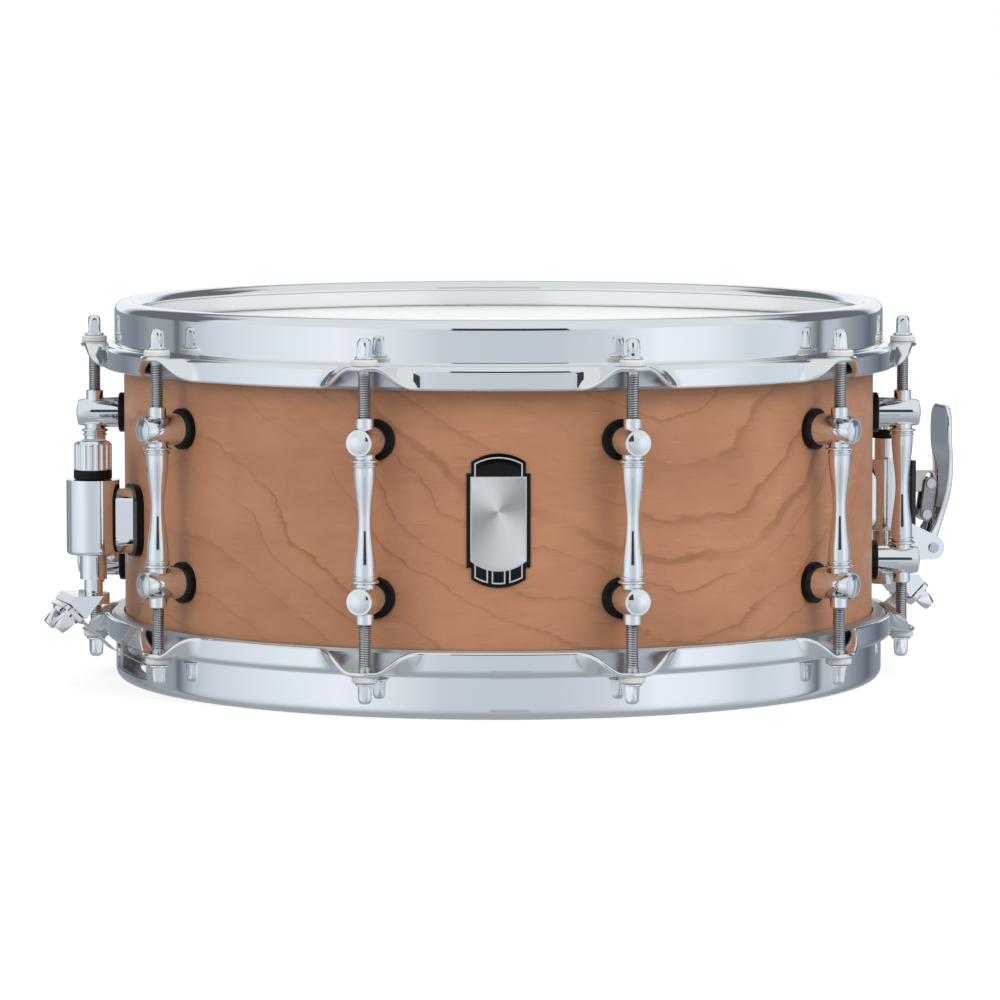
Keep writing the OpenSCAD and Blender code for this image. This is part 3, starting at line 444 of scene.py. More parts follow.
def softened(node, body, finish, slot, width=None, segments=3):
    """A copy of a CAD node whose flat faces are whole again and whose sharp edges are
    rounded over."""
    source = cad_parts[node].data
    co = np.empty(len(source.vertices) * 3, np.float32)
    source.vertices.foreach_get("co", co)
    loops = np.empty(len(source.loops), np.int32)
    source.loops.foreach_get("vertex_index", loops)
    matrix = np.array(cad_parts[node].matrix_world)
    points = co.reshape(-1, 3) @ matrix[:3, :3].T + matrix[:3, 3]
    shape = Shape(points * 1000 - (0, 0, MID), loops, np.full(len(loops) // 3, 3))
    made = piece(node + "_soft", weld(shape), body, finish, slot, node, sharp=30)
    flatten = made.modifiers.new("flat faces", "DECIMATE")
    flatten.decimate_type = "DISSOLVE"
    flatten.angle_limit = math.radians(0.4)
    soften = made.modifiers.new("rounded edges", "BEVEL")
    soften.limit_method = "ANGLE"
    soften.angle_limit = math.radians(32)
    soften.width = (measures().edge_soft if width is None else width) / 1000
    soften.segments = segments
    soften.harden_normals = True
    return made


def finish_node(finish, *names):
    """Gives CAD nodes that stay in view a finish."""
    for name in names:
        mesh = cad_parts[name].data
        mesh.materials.clear()
        mesh.materials.append(finish)


# ---- finishes ----


def add(tree, kind, inputs=None, **settings):
    """Adds a shader node. An input is given a value, or another node's output to link."""
    node = tree.nodes.new("ShaderNode" + kind)
    for key, value in settings.items():
        setattr(node, key, value)
    for key, value in (inputs or {}).items():
        if isinstance(value, bpy.types.NodeSocket):
            tree.links.new(value, node.inputs[key])
        else:
            node.inputs[key].default_value = value
    return node


def maths(tree, operation, *values):
    """A sum, product or other operation on numbers, values and outputs."""
    return add(tree, "Math", dict(enumerate(values)), operation=operation).outputs[0]


def surface(name, **constants):
    """A material with a Principled surface, its tree, and its object coordinates."""
    made = bpy.data.materials.get(name)
    if made:
        return made, None, None, None
    made = bpy.data.materials.new(name)
    made.use_nodes = True
    tree = made.node_tree
    shader = tree.nodes["Principled BSDF"]
    for key, value in constants.items():
        shader.inputs[key.replace("_", " ").capitalize()
                      if key not in SOCKETS else SOCKETS[key]].default_value = value
    place = add(tree, "TexCoord").outputs["Object"]
    return made, tree, shader, place


SOCKETS = {
    "base": "Base Color", "ior": "IOR", "coat": "Coat Weight", "coat_roughness": "Coat Roughness",
    "specular": "Specular IOR Level", "transmission": "Transmission Weight", "alpha": "Alpha",
    "subsurface": "Subsurface Weight", "scatter": "Subsurface Radius",
    "scatter_scale": "Subsurface Scale"}


def rgba(colour):
    """A colour with full opacity."""
    return (*colour, 1)


def speckle(tree, place, size, detail=2.0, stretch=(1, 1, 1), **more):
    """Noise whose blobs are about the given size in millimetres, narrower along an axis by
    its stretch."""
    spot = add(tree, "Mapping", {"Vector": place, "Scale": stretch})
    return add(tree, "TexNoise", {
        "Vector": spot.outputs["Vector"], "Scale": 500 / size, "Detail": detail, **more})


def spread(tree, value, low, high, start=0.3, end=0.7):
    """The value carried from start..end to low..high."""
    return add(tree, "MapRange", {
        "Value": value, "From Min": start, "From Max": end, "To Min": low,
        "To Max": high}).outputs["Result"]


def blend(tree, share, first, second, mode="MIX"):
    """Two colours mixed by a share."""
    mix = add(tree, "Mix", data_type="RGBA", blend_type=mode)
    for place, value in ((0, share), (6, first), (7, second)):
        if isinstance(value, bpy.types.NodeSocket):
            tree.links.new(value, mix.inputs[place])
        else:
            mix.inputs[place].default_value = value
    return mix.outputs[2]


def relief(tree, shader, height, depth, strength=1.0):
    """Raises the surface by a height of 0 to 1 times a depth in millimetres."""
    bump = add(tree, "Bump", {"Height": height, "Distance": depth / 1000, "Strength": strength})
    tree.links.new(bump.outputs["Normal"], shader.inputs["Normal"])


def cherry_veneer():
    """Cherry veneer under satin lacquer: pinkish tan, with thin darker late-wood lines that
    swing up and down twice round the shell, soft clouds, and short pores along the grain."""
    colours = bpy.context.scene.drum_colours
    made, tree, shader, place = surface(
        "cherry_veneer_satin_lacquer", specular=0.4, coat=0.1, coat_roughness=0.3)
    if tree is None:
        return made
    light, dark = rgba(colours.wood_light), rgba(colours.wood_dark)
    # growth in millimetres: height, plus a wave of the bearing, plus drift and wiggles
    parts = add(tree, "SeparateXYZ", {"Vector": place}).outputs
    bearing = maths(tree, "ARCTAN2", parts["Y"], parts["X"])
    wave = maths(tree, "COSINE", maths(tree, "MULTIPLY_ADD", bearing, 2.0, math.radians(-12)))
    height = maths(tree, "MULTIPLY", parts["Z"], 1000.0)
    growth = maths(tree, "MULTIPLY_ADD", wave, -70.0, height)
    drift = speckle(tree, place, 60, 1, (1, 1, 1.3)).outputs["Fac"]
    growth = maths(tree, "MULTIPLY_ADD", drift, 56.0, growth)
    wiggle = speckle(tree, place, 17, 4, (1, 1, 1.6), Roughness=0.6).outputs["Fac"]
    growth = maths(tree, "MULTIPLY_ADD", wiggle, 19.0, growth)
    # seasons of unequal width
    season = add(tree, "TexNoise", {"W": maths(tree, "MULTIPLY", growth, 0.045),
                                    "Scale": 1.0, "Detail": 1.0}, noise_dimensions="1D")
    season = season.outputs["Fac"]
    growth = maths(tree, "MULTIPLY_ADD", season, 44.0, growth)
    ring = maths(tree, "FRACT", maths(tree, "MULTIPLY", growth, 1 / 25))
    # each season darkens slowly, then ends in a thin line that fades on its far side
    late = maths(tree, "POWER", spread(tree, ring, 0, 1, 0.3, 0.94), 5.0)
    line = maths(tree, "MULTIPLY", late, spread(tree, ring, 1, 0, 0.94, 1.0))
    patch = speckle(tree, place, 34, 2, (1, 1, 1.3)).outputs["Fac"]
    line = maths(tree, "MULTIPLY", line, spread(tree, patch, 0.12, 0.8, 0.38, 0.62))
    tone = blend(tree, line, light, dark)
    cloud = speckle(tree, place, 24, 5, (1, 1, 1.4), Roughness=0.65).outputs["Fac"]
    tone = blend(tree, spread(tree, cloud, 0, 0.6, 0.32, 0.68), tone,
                 rgba(linear("#a5704f")))
    fleck = speckle(tree, place, 3.0, 3, (0.3, 0.3, 1.6), Roughness=0.7).outputs["Fac"]
    tone = blend(tree, spread(tree, fleck, 0, 0.2, 0.5, 0.8), tone, dark)
    pale = speckle(tree, place, 2.2, 2, (0.25, 0.25, 1.8)).outputs["Fac"]
    tone = blend(tree, spread(tree, pale, 0, 0.3, 0.6, 0.8), tone, rgba(linear("#cf9d7c")))
    pore = speckle(tree, place, 1.1, 2, (0.14, 0.14, 1.6)).outputs["Fac"]
    dots = spread(tree, pore, 0, 0.25, 0.64, 0.78)
    tone = blend(tree, dots, tone, rgba(linear("#7d5238")))
    tree.links.new(tone, shader.inputs["Base Color"])
    tree.links.new(spread(tree, cloud, 0.42, 0.52), shader.inputs["Roughness"])
    relief(tree, shader, fleck, 0.02, 0.4)
    return made


def chrome_plate(name="chrome_plate_polished", low=0.025, high=0.06, colour=None, dull=None):
    """Polished chrome plate: a near mirror, a little cold, with the faint swell of buffing
    and wiping haze, and unpolished nearer the axis than `dull` millimetres."""
    colours = bpy.context.scene.drum_colours
    made, tree, shader, place = surface(
        name, base=rgba(colour or colours.chrome), metallic=1.0)
    if tree is None:
        return made
    haze = speckle(tree, place, 9, 4)
    rough = spread(tree, haze.outputs["Fac"], low, high)
    if dull:
        flat = add(tree, "VectorMath", {0: place, 1: (1, 1, 0)}, operation="MULTIPLY")
        reach = add(tree, "VectorMath", {0: flat.outputs[0]}, operation="LENGTH")
        inside = spread(tree, reach.outputs["Value"], 0.6, 0, (dull - 0.3) / 1000,
                        (dull + 0.3) / 1000)
        rough = maths(tree, "MAXIMUM", rough, inside)
    tree.links.new(rough, shader.inputs["Roughness"])
    swell = speckle(tree, place, 16, 1)
    relief(tree, shader, swell.outputs["Fac"], 0.03, 0.35)
    return made


def plated_steel(name="zinc_nickel_plated_steel", colour=None, low=0.16, high=0.3,
                 painted_root_shade=False):
    """Barrel-plated steel: greyer and softer than chrome, with a fine tumbled grain; the
    roots of a thread, marked on the mesh, get painted shade in the base colour."""
    colours = bpy.context.scene.drum_colours
    made, tree, shader, place = surface(
        name, base=rgba(colour or colours.steel), metallic=1.0)
    if tree is None:
        return made
    grain = speckle(tree, place, 0.8, 3)
    tree.links.new(spread(tree, grain.outputs["Fac"], low, high), shader.inputs["Roughness"])
    relief(tree, shader, grain.outputs["Fac"], 0.015, 0.5)
    if painted_root_shade:
        # painted shade: the base colour darkens in the thread's roots, by the depth marked on the
        # mesh
        root_shade_mask = add(tree, "Attribute", attribute_name="root_shade_mask").outputs["Fac"]
        tone = blend(tree, spread(tree, root_shade_mask, 0, 0.75, 0.3, 0.95),
                     rgba(colour or colours.steel), rgba(linear("#504d50")))
        tree.links.new(tone, shader.inputs["Base Color"])
    return made


def coated_film():
    """Polyester film with a sprayed white coating: warm white, matt, with a fine pebble."""
    colours = bpy.context.scene.drum_colours
    made, tree, shader, place = surface(
        "polyester_film_sprayed_white", ior=1.5, coat=0.25, coat_roughness=0.35)
    if tree is None:
        return made
    cloud = speckle(tree, place, 40, 2)
    tone = blend(tree, spread(tree, cloud.outputs["Fac"], 0, 0.25), rgba(colours.coated),
                 rgba(linear("#e4e7e4")))
    tree.links.new(tone, shader.inputs["Base Color"])
    pebble = speckle(tree, place, 0.7, 2)
    tree.links.new(spread(tree, pebble.outputs["Fac"], 0.42, 0.58), shader.inputs["Roughness"])
    relief(tree, shader, pebble.outputs["Fac"], 0.03, 0.5)
    return made


def clear_film():
    """Clear polyester film: thin and glossy, seen mostly by its highlights."""
    made, tree, shader, place = surface(
        "polyester_film_clear", base=rgba(linear("#f2f5f6")), ior=1.5, transmission=0.85)
    if tree is None:
        return made
    scuff = speckle(tree, place, 5, 4)
    tree.links.new(spread(tree, scuff.outputs["Fac"], 0.04, 0.16), shader.inputs["Roughness"])
    return made


def brushed_aluminium():
    """Extruded aluminium hoop: fine drawn lines round the drum."""
    made, tree, shader, place = surface(
        "extruded_aluminium", base=rgba(linear("#c4c7cb")), metallic=1.0)
    if tree is None:
        return made
    lines = speckle(tree, place, 1.2, 2, (0.05, 0.05, 1))
    tree.links.new(spread(tree, lines.outputs["Fac"], 0.26, 0.4), shader.inputs["Roughness"])
    relief(tree, shader, lines.outputs["Fac"], 0.02, 0.5)
    return made


def moulded(name, code, low, high, grain=0.9, depth=0.02, **constants):
    """A moulded part: one colour with slight clouding, and a fine mould texture."""
    made, tree, shader, place = surface(name, ior=1.5, **constants)
    if tree is None:
        return made
    cloud = speckle(tree, place, 6, 3)
    tone = blend(tree, spread(tree, cloud.outputs["Fac"], 0, 0.3), rgba(code),
                 rgba([0.7 * c + 0.003 for c in code]))
    tree.links.new(tone, shader.inputs["Base Color"])
    fine = speckle(tree, place, grain, 2)
    tree.links.new(spread(tree, fine.outputs["Fac"], low, high), shader.inputs["Roughness"])
    relief(tree, shader, fine.outputs["Fac"], depth, 0.5)
    return made


def rubber():
    """Moulded black rubber: deep black with a soft, broad sheen."""
    return moulded("rubber_moulded_black", bpy.context.scene.drum_colours.rubber, 0.3, 0.42,
                   specular=0.22)


def nylon():
    """Turned natural nylon: creamy, slightly translucent."""
    return moulded("nylon_natural", bpy.context.scene.drum_colours.nylon, 0.3, 0.42,
                   subsurface=0.15, scatter=(0.5, 0.5, 0.5), scatter_scale=0.001)


def acetal():
    """Moulded black acetal: smooth, a little glossier than rubber."""
    return moulded("acetal_moulded_black", linear("#17181a"), 0.26, 0.36)


def enamel():
    """Black stoved enamel on the badge: glossy, faintly uneven."""
    return moulded("enamel_stoved_black", bpy.context.scene.drum_colours.enamel, 0.12, 0.2,
                   grain=2.5, depth=0.01, specular=0.25)


def satin_silver(name, painted_sheen=False):
    """Brushed nickel silver: fine upright strokes that spread each highlight, and on the
    badge's field a painted sheen: a base colour that turns light and dark twice round its
    middle, as a turned brush's sheen would."""
    made, tree, shader, place = surface(name, base=rgba(linear("#dcdee0")), metallic=0.75)
    if tree is None:
        return made
    strokes = speckle(tree, place, 0.5, 2, (1, 1, 0.04))
    if painted_sheen:
        # painted sheen: light and dark base colour by the angle round a point near the field's
        # middle
        along = add(tree, "VectorMath", {0: place, 1: (
            -math.sin(BADGE_AT), math.cos(BADGE_AT), 0)}, operation="DOT_PRODUCT")
        level = add(tree, "SeparateXYZ", {"Vector": place}).outputs["Z"]
        level = maths(tree, "SUBTRACT", level, (MID + 4) / 1000)
        angle = maths(tree, "ARCTAN2", level, along.outputs["Value"])
        wave = maths(tree, "COSINE", maths(tree, "MULTIPLY_ADD", angle, 2.0, 2.2))
        tone = blend(tree, spread(tree, wave, 0, 1, -1, 1),
                     rgba(linear("#b4b6b8")), rgba(linear("#f8f9fa")))
        tree.links.new(tone, shader.inputs["Base Color"])
    rough = spread(tree, strokes.outputs["Fac"], 0.36 if painted_sheen else 0.2, 0.46 if painted_sheen else 0.36)
    tree.links.new(rough, shader.inputs["Roughness"])
    if not painted_sheen:
        relief(tree, shader, strokes.outputs["Fac"], 0.015, 0.6)
    return made


def strap_film():
    """Milky polyester strap: flexible, half clear, softly glossy."""
    return moulded("polyester_strap_milky", linear("#f1f1ee"), 0.22, 0.34, grain=3,
                   transmission=0.25)


# ---- operators ----


class DRUM_OT_stage(bpy.types.Operator):
    """Make the studio: pale floor, soft light all round, and the camera"""

    bl_idname = "drum.stage"
    bl_label = "Studio"

    def execute(self, context):
        scene = context.scene
        scene.view_settings.view_transform = "Standard"
        self.floor()
        self.surround(scene)
        self.lamps()
        self.camera(scene)
        return {"FINISHED"}

    def floor(self):
        """A round pale floor, left out of mirrors. Straight views see it lifted to white where
        the light reaches it, and the drum's shadow stays."""
        a = np.arange(128) * TAU / 128
        rim = np.column_stack([7000 * np.cos(a), 7000 * np.sin(a), np.full(128, -MID)])
        mesh = bpy.data.meshes.new("floor")
        mesh.from_pydata(((rim + (0, 0, MID)) / 1000).tolist(), [], [list(range(len(a)))])
        made = bpy.data.objects.new("floor", mesh)
        bpy.context.scene.collection.objects.link(made)
        made.visible_glossy = False
        finish = bpy.data.materials.new("paper_matt_white")
        finish.use_nodes = True
        tree = finish.node_tree
        tree.nodes.clear()
        paper = add(tree, "BsdfDiffuse", {"Color": rgba((0.42, 0.42, 0.42))})
        rays = add(tree, "LightPath").outputs
        straight = maths(tree, "MAXIMUM", rays["Is Camera Ray"], rays["Is Transmission Ray"])
        lift = add(tree, "Emission", {"Color": rgba((1, 1, 1)),
                                      "Strength": maths(tree, "MULTIPLY", straight, 0.68)})
        both_parts = add(tree, "AddShader", {0: paper.outputs[0], 1: lift.outputs[0]})
        add(tree, "OutputMaterial", {"Surface": both_parts.outputs[0]})
        mesh.materials.append(finish)

    def surround(self, scene):
        """Even light for matt surfaces and white for straight views. Mirrors see a drawn
        studio: a ring whose tone changes with the bearing from the camera, a pale ceiling and
        back wall, dark gaps between them at the sides, and a slim dark one by the camera."""
        world = bpy.data.worlds.new("studio")
        scene.world = world
        world.use_nodes = True
        tree = world.node_tree
        tree.nodes.clear()
        way = add(tree, "TexCoord").outputs["Generated"]
        up = add(tree, "SeparateXYZ", {"Vector": way}).outputs["Z"]
        ahead, aside = (add(tree, "VectorMath", {0: way, 1: axis}, operation="DOT_PRODUCT")
                        .outputs["Value"] for axis in (
                            (math.sin(CAMERA_AT), -math.cos(CAMERA_AT), 0),
                            (math.cos(CAMERA_AT), math.sin(CAMERA_AT), 0)))
        bearing = maths(tree, "ARCTAN2", aside, ahead)
        ring = add(tree, "ValToRGB", {"Fac": spread(tree, bearing, 0, 1, -math.pi, math.pi)})
        ramp = ring.color_ramp
        while len(ramp.elements) < len(STUDIO_RING):
            ramp.elements.new(0.5)
        for element, (degrees, code) in zip(ramp.elements, STUDIO_RING):
            element.position = degrees / 360 + 0.5
            element.color = rgba(linear(code))

        def share(value, start, end):
            return spread(tree, value, 0, 1, start, end)

        def times(*factors):
            product = factors[0]
            for factor in factors[1:]:
                product = maths(tree, "MULTIPLY", product, factor)
            return product

        def near(value, middle, half):
            return maths(tree, "COMPARE", value, middle, half)

        tone = ring.outputs["Color"]
        for where, code in (
                (share(up, 0.1, 0.3), "#d6dbdb"),
                (times(share(up, 0.03, 0.1), share(ahead, -0.1, -0.2), share(up, 0.75, 0.6)),
                 "#62686e"),
                (times(share(up, 0, 0.03), share(ahead, -0.8, -0.9)), "#e4e8ea"),
                (share(up, -0.12, -0.8), "#9ba1a6"),
                (times(near(bearing, 0.06, 0.1), near(up, -0.32, 0.13)), "#a4a7ae"),
                (times(near(bearing, 0.06, 0.3), near(up, 0.21, 0.17)), "#3a3d41")):
            tone = blend(tree, where, tone, rgba(linear(code)))
        rays = add(tree, "LightPath").outputs
        soft = blend(tree, share(up, -0.2, 0.5), rgba(linear("#dcdde0")),
                     rgba(linear("#ffffff")))
        light = blend(tree, rays["Is Glossy Ray"], soft, tone)
        straight = maths(tree, "MAXIMUM", rays["Is Camera Ray"], rays["Is Transmission Ray"])
        light = blend(tree, straight, light, rgba((1, 1, 1)))
        level = maths(tree, "MULTIPLY_ADD", rays["Is Glossy Ray"], 0.16, 1.0)
        level = add(tree, "Mix", {0: rays["Is Camera Ray"], 2: level, 3: 1.0}).outputs[0]
        back = add(tree, "Background", {"Color": light, "Strength": level})
        add(tree, "OutputWorld", {"Surface": back.outputs[0]})

    def lamps(self):
        """One broad soft lamp high on the camera's right, and a weaker one on its left."""
        for name, turn, up, size, watts in (
                ("key", 46, 33, 1.4, 19.5), ("fill", -52, 24, 1.2, 10)):
            data = bpy.data.lights.new(name, "AREA")
            data.shape, data.size, data.energy = "DISK", size, watts
            made = bpy.data.objects.new(name, data)
            bpy.context.scene.collection.objects.link(made)
            a, e = CAMERA_AT + math.radians(turn), math.radians(up)
            way = np.array([math.sin(a) * math.cos(e), -math.cos(a) * math.cos(e), math.sin(e)])
            made.location = 2.4 * way + (0, 0, MID / 1000)
            made.rotation_euler = (math.pi / 2 - e, 0, a)
            made.visible_glossy = False

    def camera(self, scene):
        """A long lens at a little above the rim's height, aimed slightly down."""
        data = bpy.data.cameras.new("camera")
        data.lens, data.sensor_width = 197.02, 36
        data.shift_x, data.shift_y = 0.00144, -0.0142
        data.clip_start, data.clip_end = 0.1, 40
        made = bpy.data.objects.new("camera", data)
        scene.collection.objects.link(made)
        away = 2.599
        made.location = (away * math.sin(CAMERA_AT), -away * math.cos(CAMERA_AT), 0.3156)
        made.rotation_euler = (math.radians(90 - 4.978), 0, CAMERA_AT)
        scene.camera = made


class DRUM_OT_shell(bpy.types.Operator):
    """Finish the wood shell and its vent"""

    bl_idname = "drum.shell"
    bl_label = "Shell"

    def execute(self, context):
        finish_node(cherry_veneer(), "shell")
        softened("vent_grommet", "drum", plated_steel(), "chrome")
        return {"FINISHED"}


class DRUM_OT_badge(bpy.types.Operator):
    """Make the bare badge: a dark plate with an inset bright line and a plain silver field"""

    bl_idname = "drum.badge"
    bl_label = "Badge"

    def execute(self, context):
        size = measures()
        low, high = span("badge_plate")
        wide, tall = 28.5, high[2] - low[2]
        outline = dense(rounded(self.outline(wide, tall), 0.4, 3, closed=True), 1.2)
        piece("badge_ground", self.curved(outline, 0, size.badge_t - 0.25, 0.3), "drum",
              enamel(), "badge_enamel", "badge_plate")
        lines = [self.end_loop(tall, -10.7, 10.7, 1)]
        lines += [self.end_loop(tall, x, x + 6, -1) for x in (-10.7, -3.0, 4.7)]
        line = join(*[self.band(loop, 0.62, size.badge_t - 0.3, size.badge_t - 0.19)
                      for loop in lines])
        field = self.field(wide - 3.6, tall)
        edge = self.band(field, 0.5, size.badge_t - 0.4, size.badge_t - 0.02)
        piece("badge_lines", join(line, edge), "drum", satin_silver("nickel_silver_line"),
              "badge_enamel")
        inner = dense(self.inset(field, 0.4), 1.2)
        # the field's base colour carries a painted sheen
        piece("badge_field", self.curved(inner, size.badge_t - 0.4, size.badge_t - 0.08, 0.05),
              "drum", satin_silver("nickel_silver_brushed", painted_sheen=True), "badge_enamel")
        return {"FINISHED"}

    def arch(self, x, level, rise):
        """An arc with its crown at a level: its radius is (c^2 + rise^2) / 2 rise, for half
        the chord c that all the arches share."""
        radius = (ARCH_CHORD ** 2 + rise ** 2) / (2 * abs(rise))
        drop = radius - np.sqrt(radius ** 2 - x ** 2)
        return np.column_stack([x, level - np.sign(rise) * drop])

    def outline(self, wide, tall):
        """A plate with a full-width middle, and narrower ends under shallow arches."""
        half, top = wide / 2, tall / 2
        neck, shoulder = half - 2.1, top - 8.9
        upper = np.concatenate([[(half, shoulder), (neck, shoulder)],
                                self.arch(np.linspace(neck, -neck, 15), top, 3.8),
                                [(-neck, shoulder), (-half, shoulder)]])
        return np.concatenate([upper, upper[::-1] * (1, -1)])

    def end_loop(self, tall, left, right, way):
        """A closed line in one end of the plate: two upright sides under or over the arch."""
        top = self.arch(np.linspace(right, left, 9), tall / 2 - 1.6, 3.8)
        base = tall / 2 - 11.6
        return np.concatenate([[(right, base)], top, [(left, base)]]) * (1, way)

    def field(self, wide, tall):
        """The silver field: straight sides and top, and a shallow arch below."""
        half, high, low = wide / 2, tall / 2 - 10.4, 7.3 - tall / 2
        return np.concatenate([[(half, high), (-half, high)],
                               self.arch(np.linspace(-half, half, 15), low, -4.4)])

    def inset(self, path, by):
        """A closed path drawn in: each corner moves along both its sides' inward normals."""
        ahead = unit(np.roll(path, -1, 0) - path)
        turn = np.sign(np.sum(path[:, 0] * np.roll(path[:, 1], -1)
                              - path[:, 1] * np.roll(path[:, 0], -1)))
        after = turn * np.column_stack([-ahead[:, 1], ahead[:, 0]])
        before = np.roll(after, 1, 0)
        return path + by * (before + after) / (1 + (before * after).sum(1, keepdims=True))

    def curved(self, outline, low, high, soft):
        """A plate on the shell: rings of its outline drawn in step by step, wrapped round the
        shell so that the first number is the run along it, closed by a middle row."""
        centre = outline.mean(0)
        rows = []
        reach = np.linalg.norm(outline - centre, axis=1).max()
        steps = [(1, low), (1, high - soft), (1 - 0.3 * soft / reach, high - 0.3 * soft),
                 (1 - soft / reach, high)] + [(f, high) for f in (0.8, 0.6, 0.4, 0.2, 0)]
        for share, up in steps:
            rows.append(self.wrap(centre + (outline - centre) * share, up))
        base = self.wrap(outline * 0 + centre, low)
        return outward(weld(grid(np.array([base, *rows]), wrap_v=True)))

    def band(self, path, width, low, high):
        """A raised line along the inside of a closed path."""
        pair = dense(np.hstack([path, self.inset(path, width)]), 1.5)
        outer, inner = pair[:, :2], pair[:, 2:]
        rows = np.array([self.wrap(outer, low), self.wrap(outer, high),
                         self.wrap(inner, high), self.wrap(inner, low)])
        return outward(grid(rows, wrap_u=True, wrap_v=True))

    def wrap(self, flat, up):
        """Flat places (run, height) carried onto the shell at a height over its skin."""
        a = BADGE_AT + flat[:, 0] / SHELL_R
        r = SHELL_R + up
        return np.column_stack([r * np.cos(a), r * np.sin(a), flat[:, 1]])


class DRUM_OT_heads(bpy.types.Operator):
    """Finish the two heads and the hoops they are crimped in"""

    bl_idname = "drum.heads"
    bl_label = "Heads"

    def execute(self, context):
        finish_node(coated_film(), "batter_head")
        finish_node(clear_film(), "snare_side_head")
        finish_node(brushed_aluminium(), "batter_flesh_hoop", "snare_side_flesh_hoop")
        return {"FINISHED"}


class DRUM_OT_hoops(bpy.types.Operator):
    """Make the two flanged hoops with their ears, and the snare gates"""

    bl_idname = "drum.hoops"
    bl_label = "Counter hoops"

    def execute(self, context):
        size = measures()
        angles = self.columns(size)
        middle, wall_rows = self.middle(size, angles)
        piece("batter_hoop_sheet", sheet(middle, size.hoop_t), "drum", chrome_plate(),
              "chrome", "batter_hoop")
        gap = math.asin(size.gate_half / size.wall_mid)
        away = np.abs((angles + math.pi / 2) % math.pi - math.pi / 2)
        # a gate's faces are those whose two columns both stand within it
        inside = (np.roll(away, -1) < gap + 1e-6) & (away < gap + 1e-6)
        cut = np.flatnonzero(inside)
        below = sheet(middle, size.hoop_t, window=(*wall_rows, cut))
        plated = chrome_plate("chrome_plate_dull_inside", dull=size.wall_mid)
        piece("snare_side_hoop_sheet", flipped(below), "drum", plated, "chrome",
              "snare_side_hoop")
        return {"FINISHED"}

    def columns(self, size):
        """Angles of the columns: close at the ears, wider between them, with one at each
        side of a gate."""
        gate = 18 - math.degrees(math.asin(size.gate_half / size.wall_mid))
        near = np.degrees(np.array([0, 1.3, 2.6, 3.8, 5, 6.2, 7.4, 8.6, 9.8, 11, 12.3, 13.6,
                                    15, 16.5, 18, 19.6, 21.3, 23, 25]) / EAR_R)
        far = np.concatenate([np.linspace(near[-1], gate, 8)[1:],
                              np.linspace(gate, 18, 6)[1:-1]])
        half = np.concatenate([near, far])
        sector = np.concatenate([-half[:0:-1], half, [18]])
        return np.radians((18 + 36 * np.arange(10)[:, None] + sector[None]).ravel())

    def middle(self, size, angles):
        """The middle of the sheet. From the rim: a curl, a flat crest, a quarter round, the
        wall, a fillet, the flange, then sheet that bends down into the skirt. At each ear the
        bend opens to nothing and the sheet runs further out: the bend angle rises smoothly
        with the distance y along the drum's tangent, and the run falls off as exp(-y^2).
        Returned with the first and last row of the wall's straight part."""
        half = size.hoop_t / 2
        top = CREST_Z - half
        arc = lambda cx, cz, r, angles_: [
            (cx + r * math.cos(t), cz + r * math.sin(t)) for t in np.radians(angles_)]
        wall, fillet = size.wall_mid, 2.35
        curl_x, curl_r = wall - size.curl_in, 3.4
        flange_z = FLANGE_Z - half
        upper = (arc(curl_x, top - curl_r, curl_r, np.linspace(165, 90, 8))
                 + [((curl_x + wall - curl_r) / 2, top)]
                 + arc(wall - curl_r, top - curl_r, curl_r, np.linspace(90, 0, 9)))
        straight = [(wall, z) for z in (83.4, 80, 76.5, 73, flange_z + fillet + 0.25)]
        lower = arc(wall + fillet, flange_z + fillet, fillet, np.linspace(180, 270, 8))
        wall_rows = len(upper), len(upper) + len(straight) - 1
        fixed = np.array(upper + straight + lower)
        edge_x = size.skirt_mid - size.bend_r
        lug = (np.degrees(angles) % 36) - 18
        y = np.abs(EAR_R * np.radians(lug))
        beta = math.pi / 2 * smooth(y, size.ear_half, size.ear_half + size.ear_fade)
        run = size.sheet_run + size.ear_run * np.exp(-(y / 6.6) ** 2)
        shares = np.array([0.02, 0.07, 0.12, 0.17, 0.22, 0.27, 0.34, 0.45, 0.58, 0.7, 0.82,
                           0.9, 0.96, 1.0])
        s = shares[:, None] * run[None]
        bend = size.bend_r * beta
        t = np.clip(s / size.bend_r, 0, beta)
        rest = np.maximum(s - bend, 0)
        rho = edge_x + size.bend_r * np.sin(t) + rest * np.cos(beta)
        z = flange_z - size.bend_r * (1 - np.cos(t)) - rest * np.sin(beta)
        rho = np.concatenate([np.repeat(fixed[:, :1], len(angles), 1),
                              np.full((1, len(angles)), edge_x), rho])
        z = np.concatenate([np.repeat(fixed[:, 1:], len(angles), 1),
                            np.full((1, len(angles)), flange_z), z])
        return np.stack([rho * np.cos(angles), rho * np.sin(angles), z], -1), wall_rows


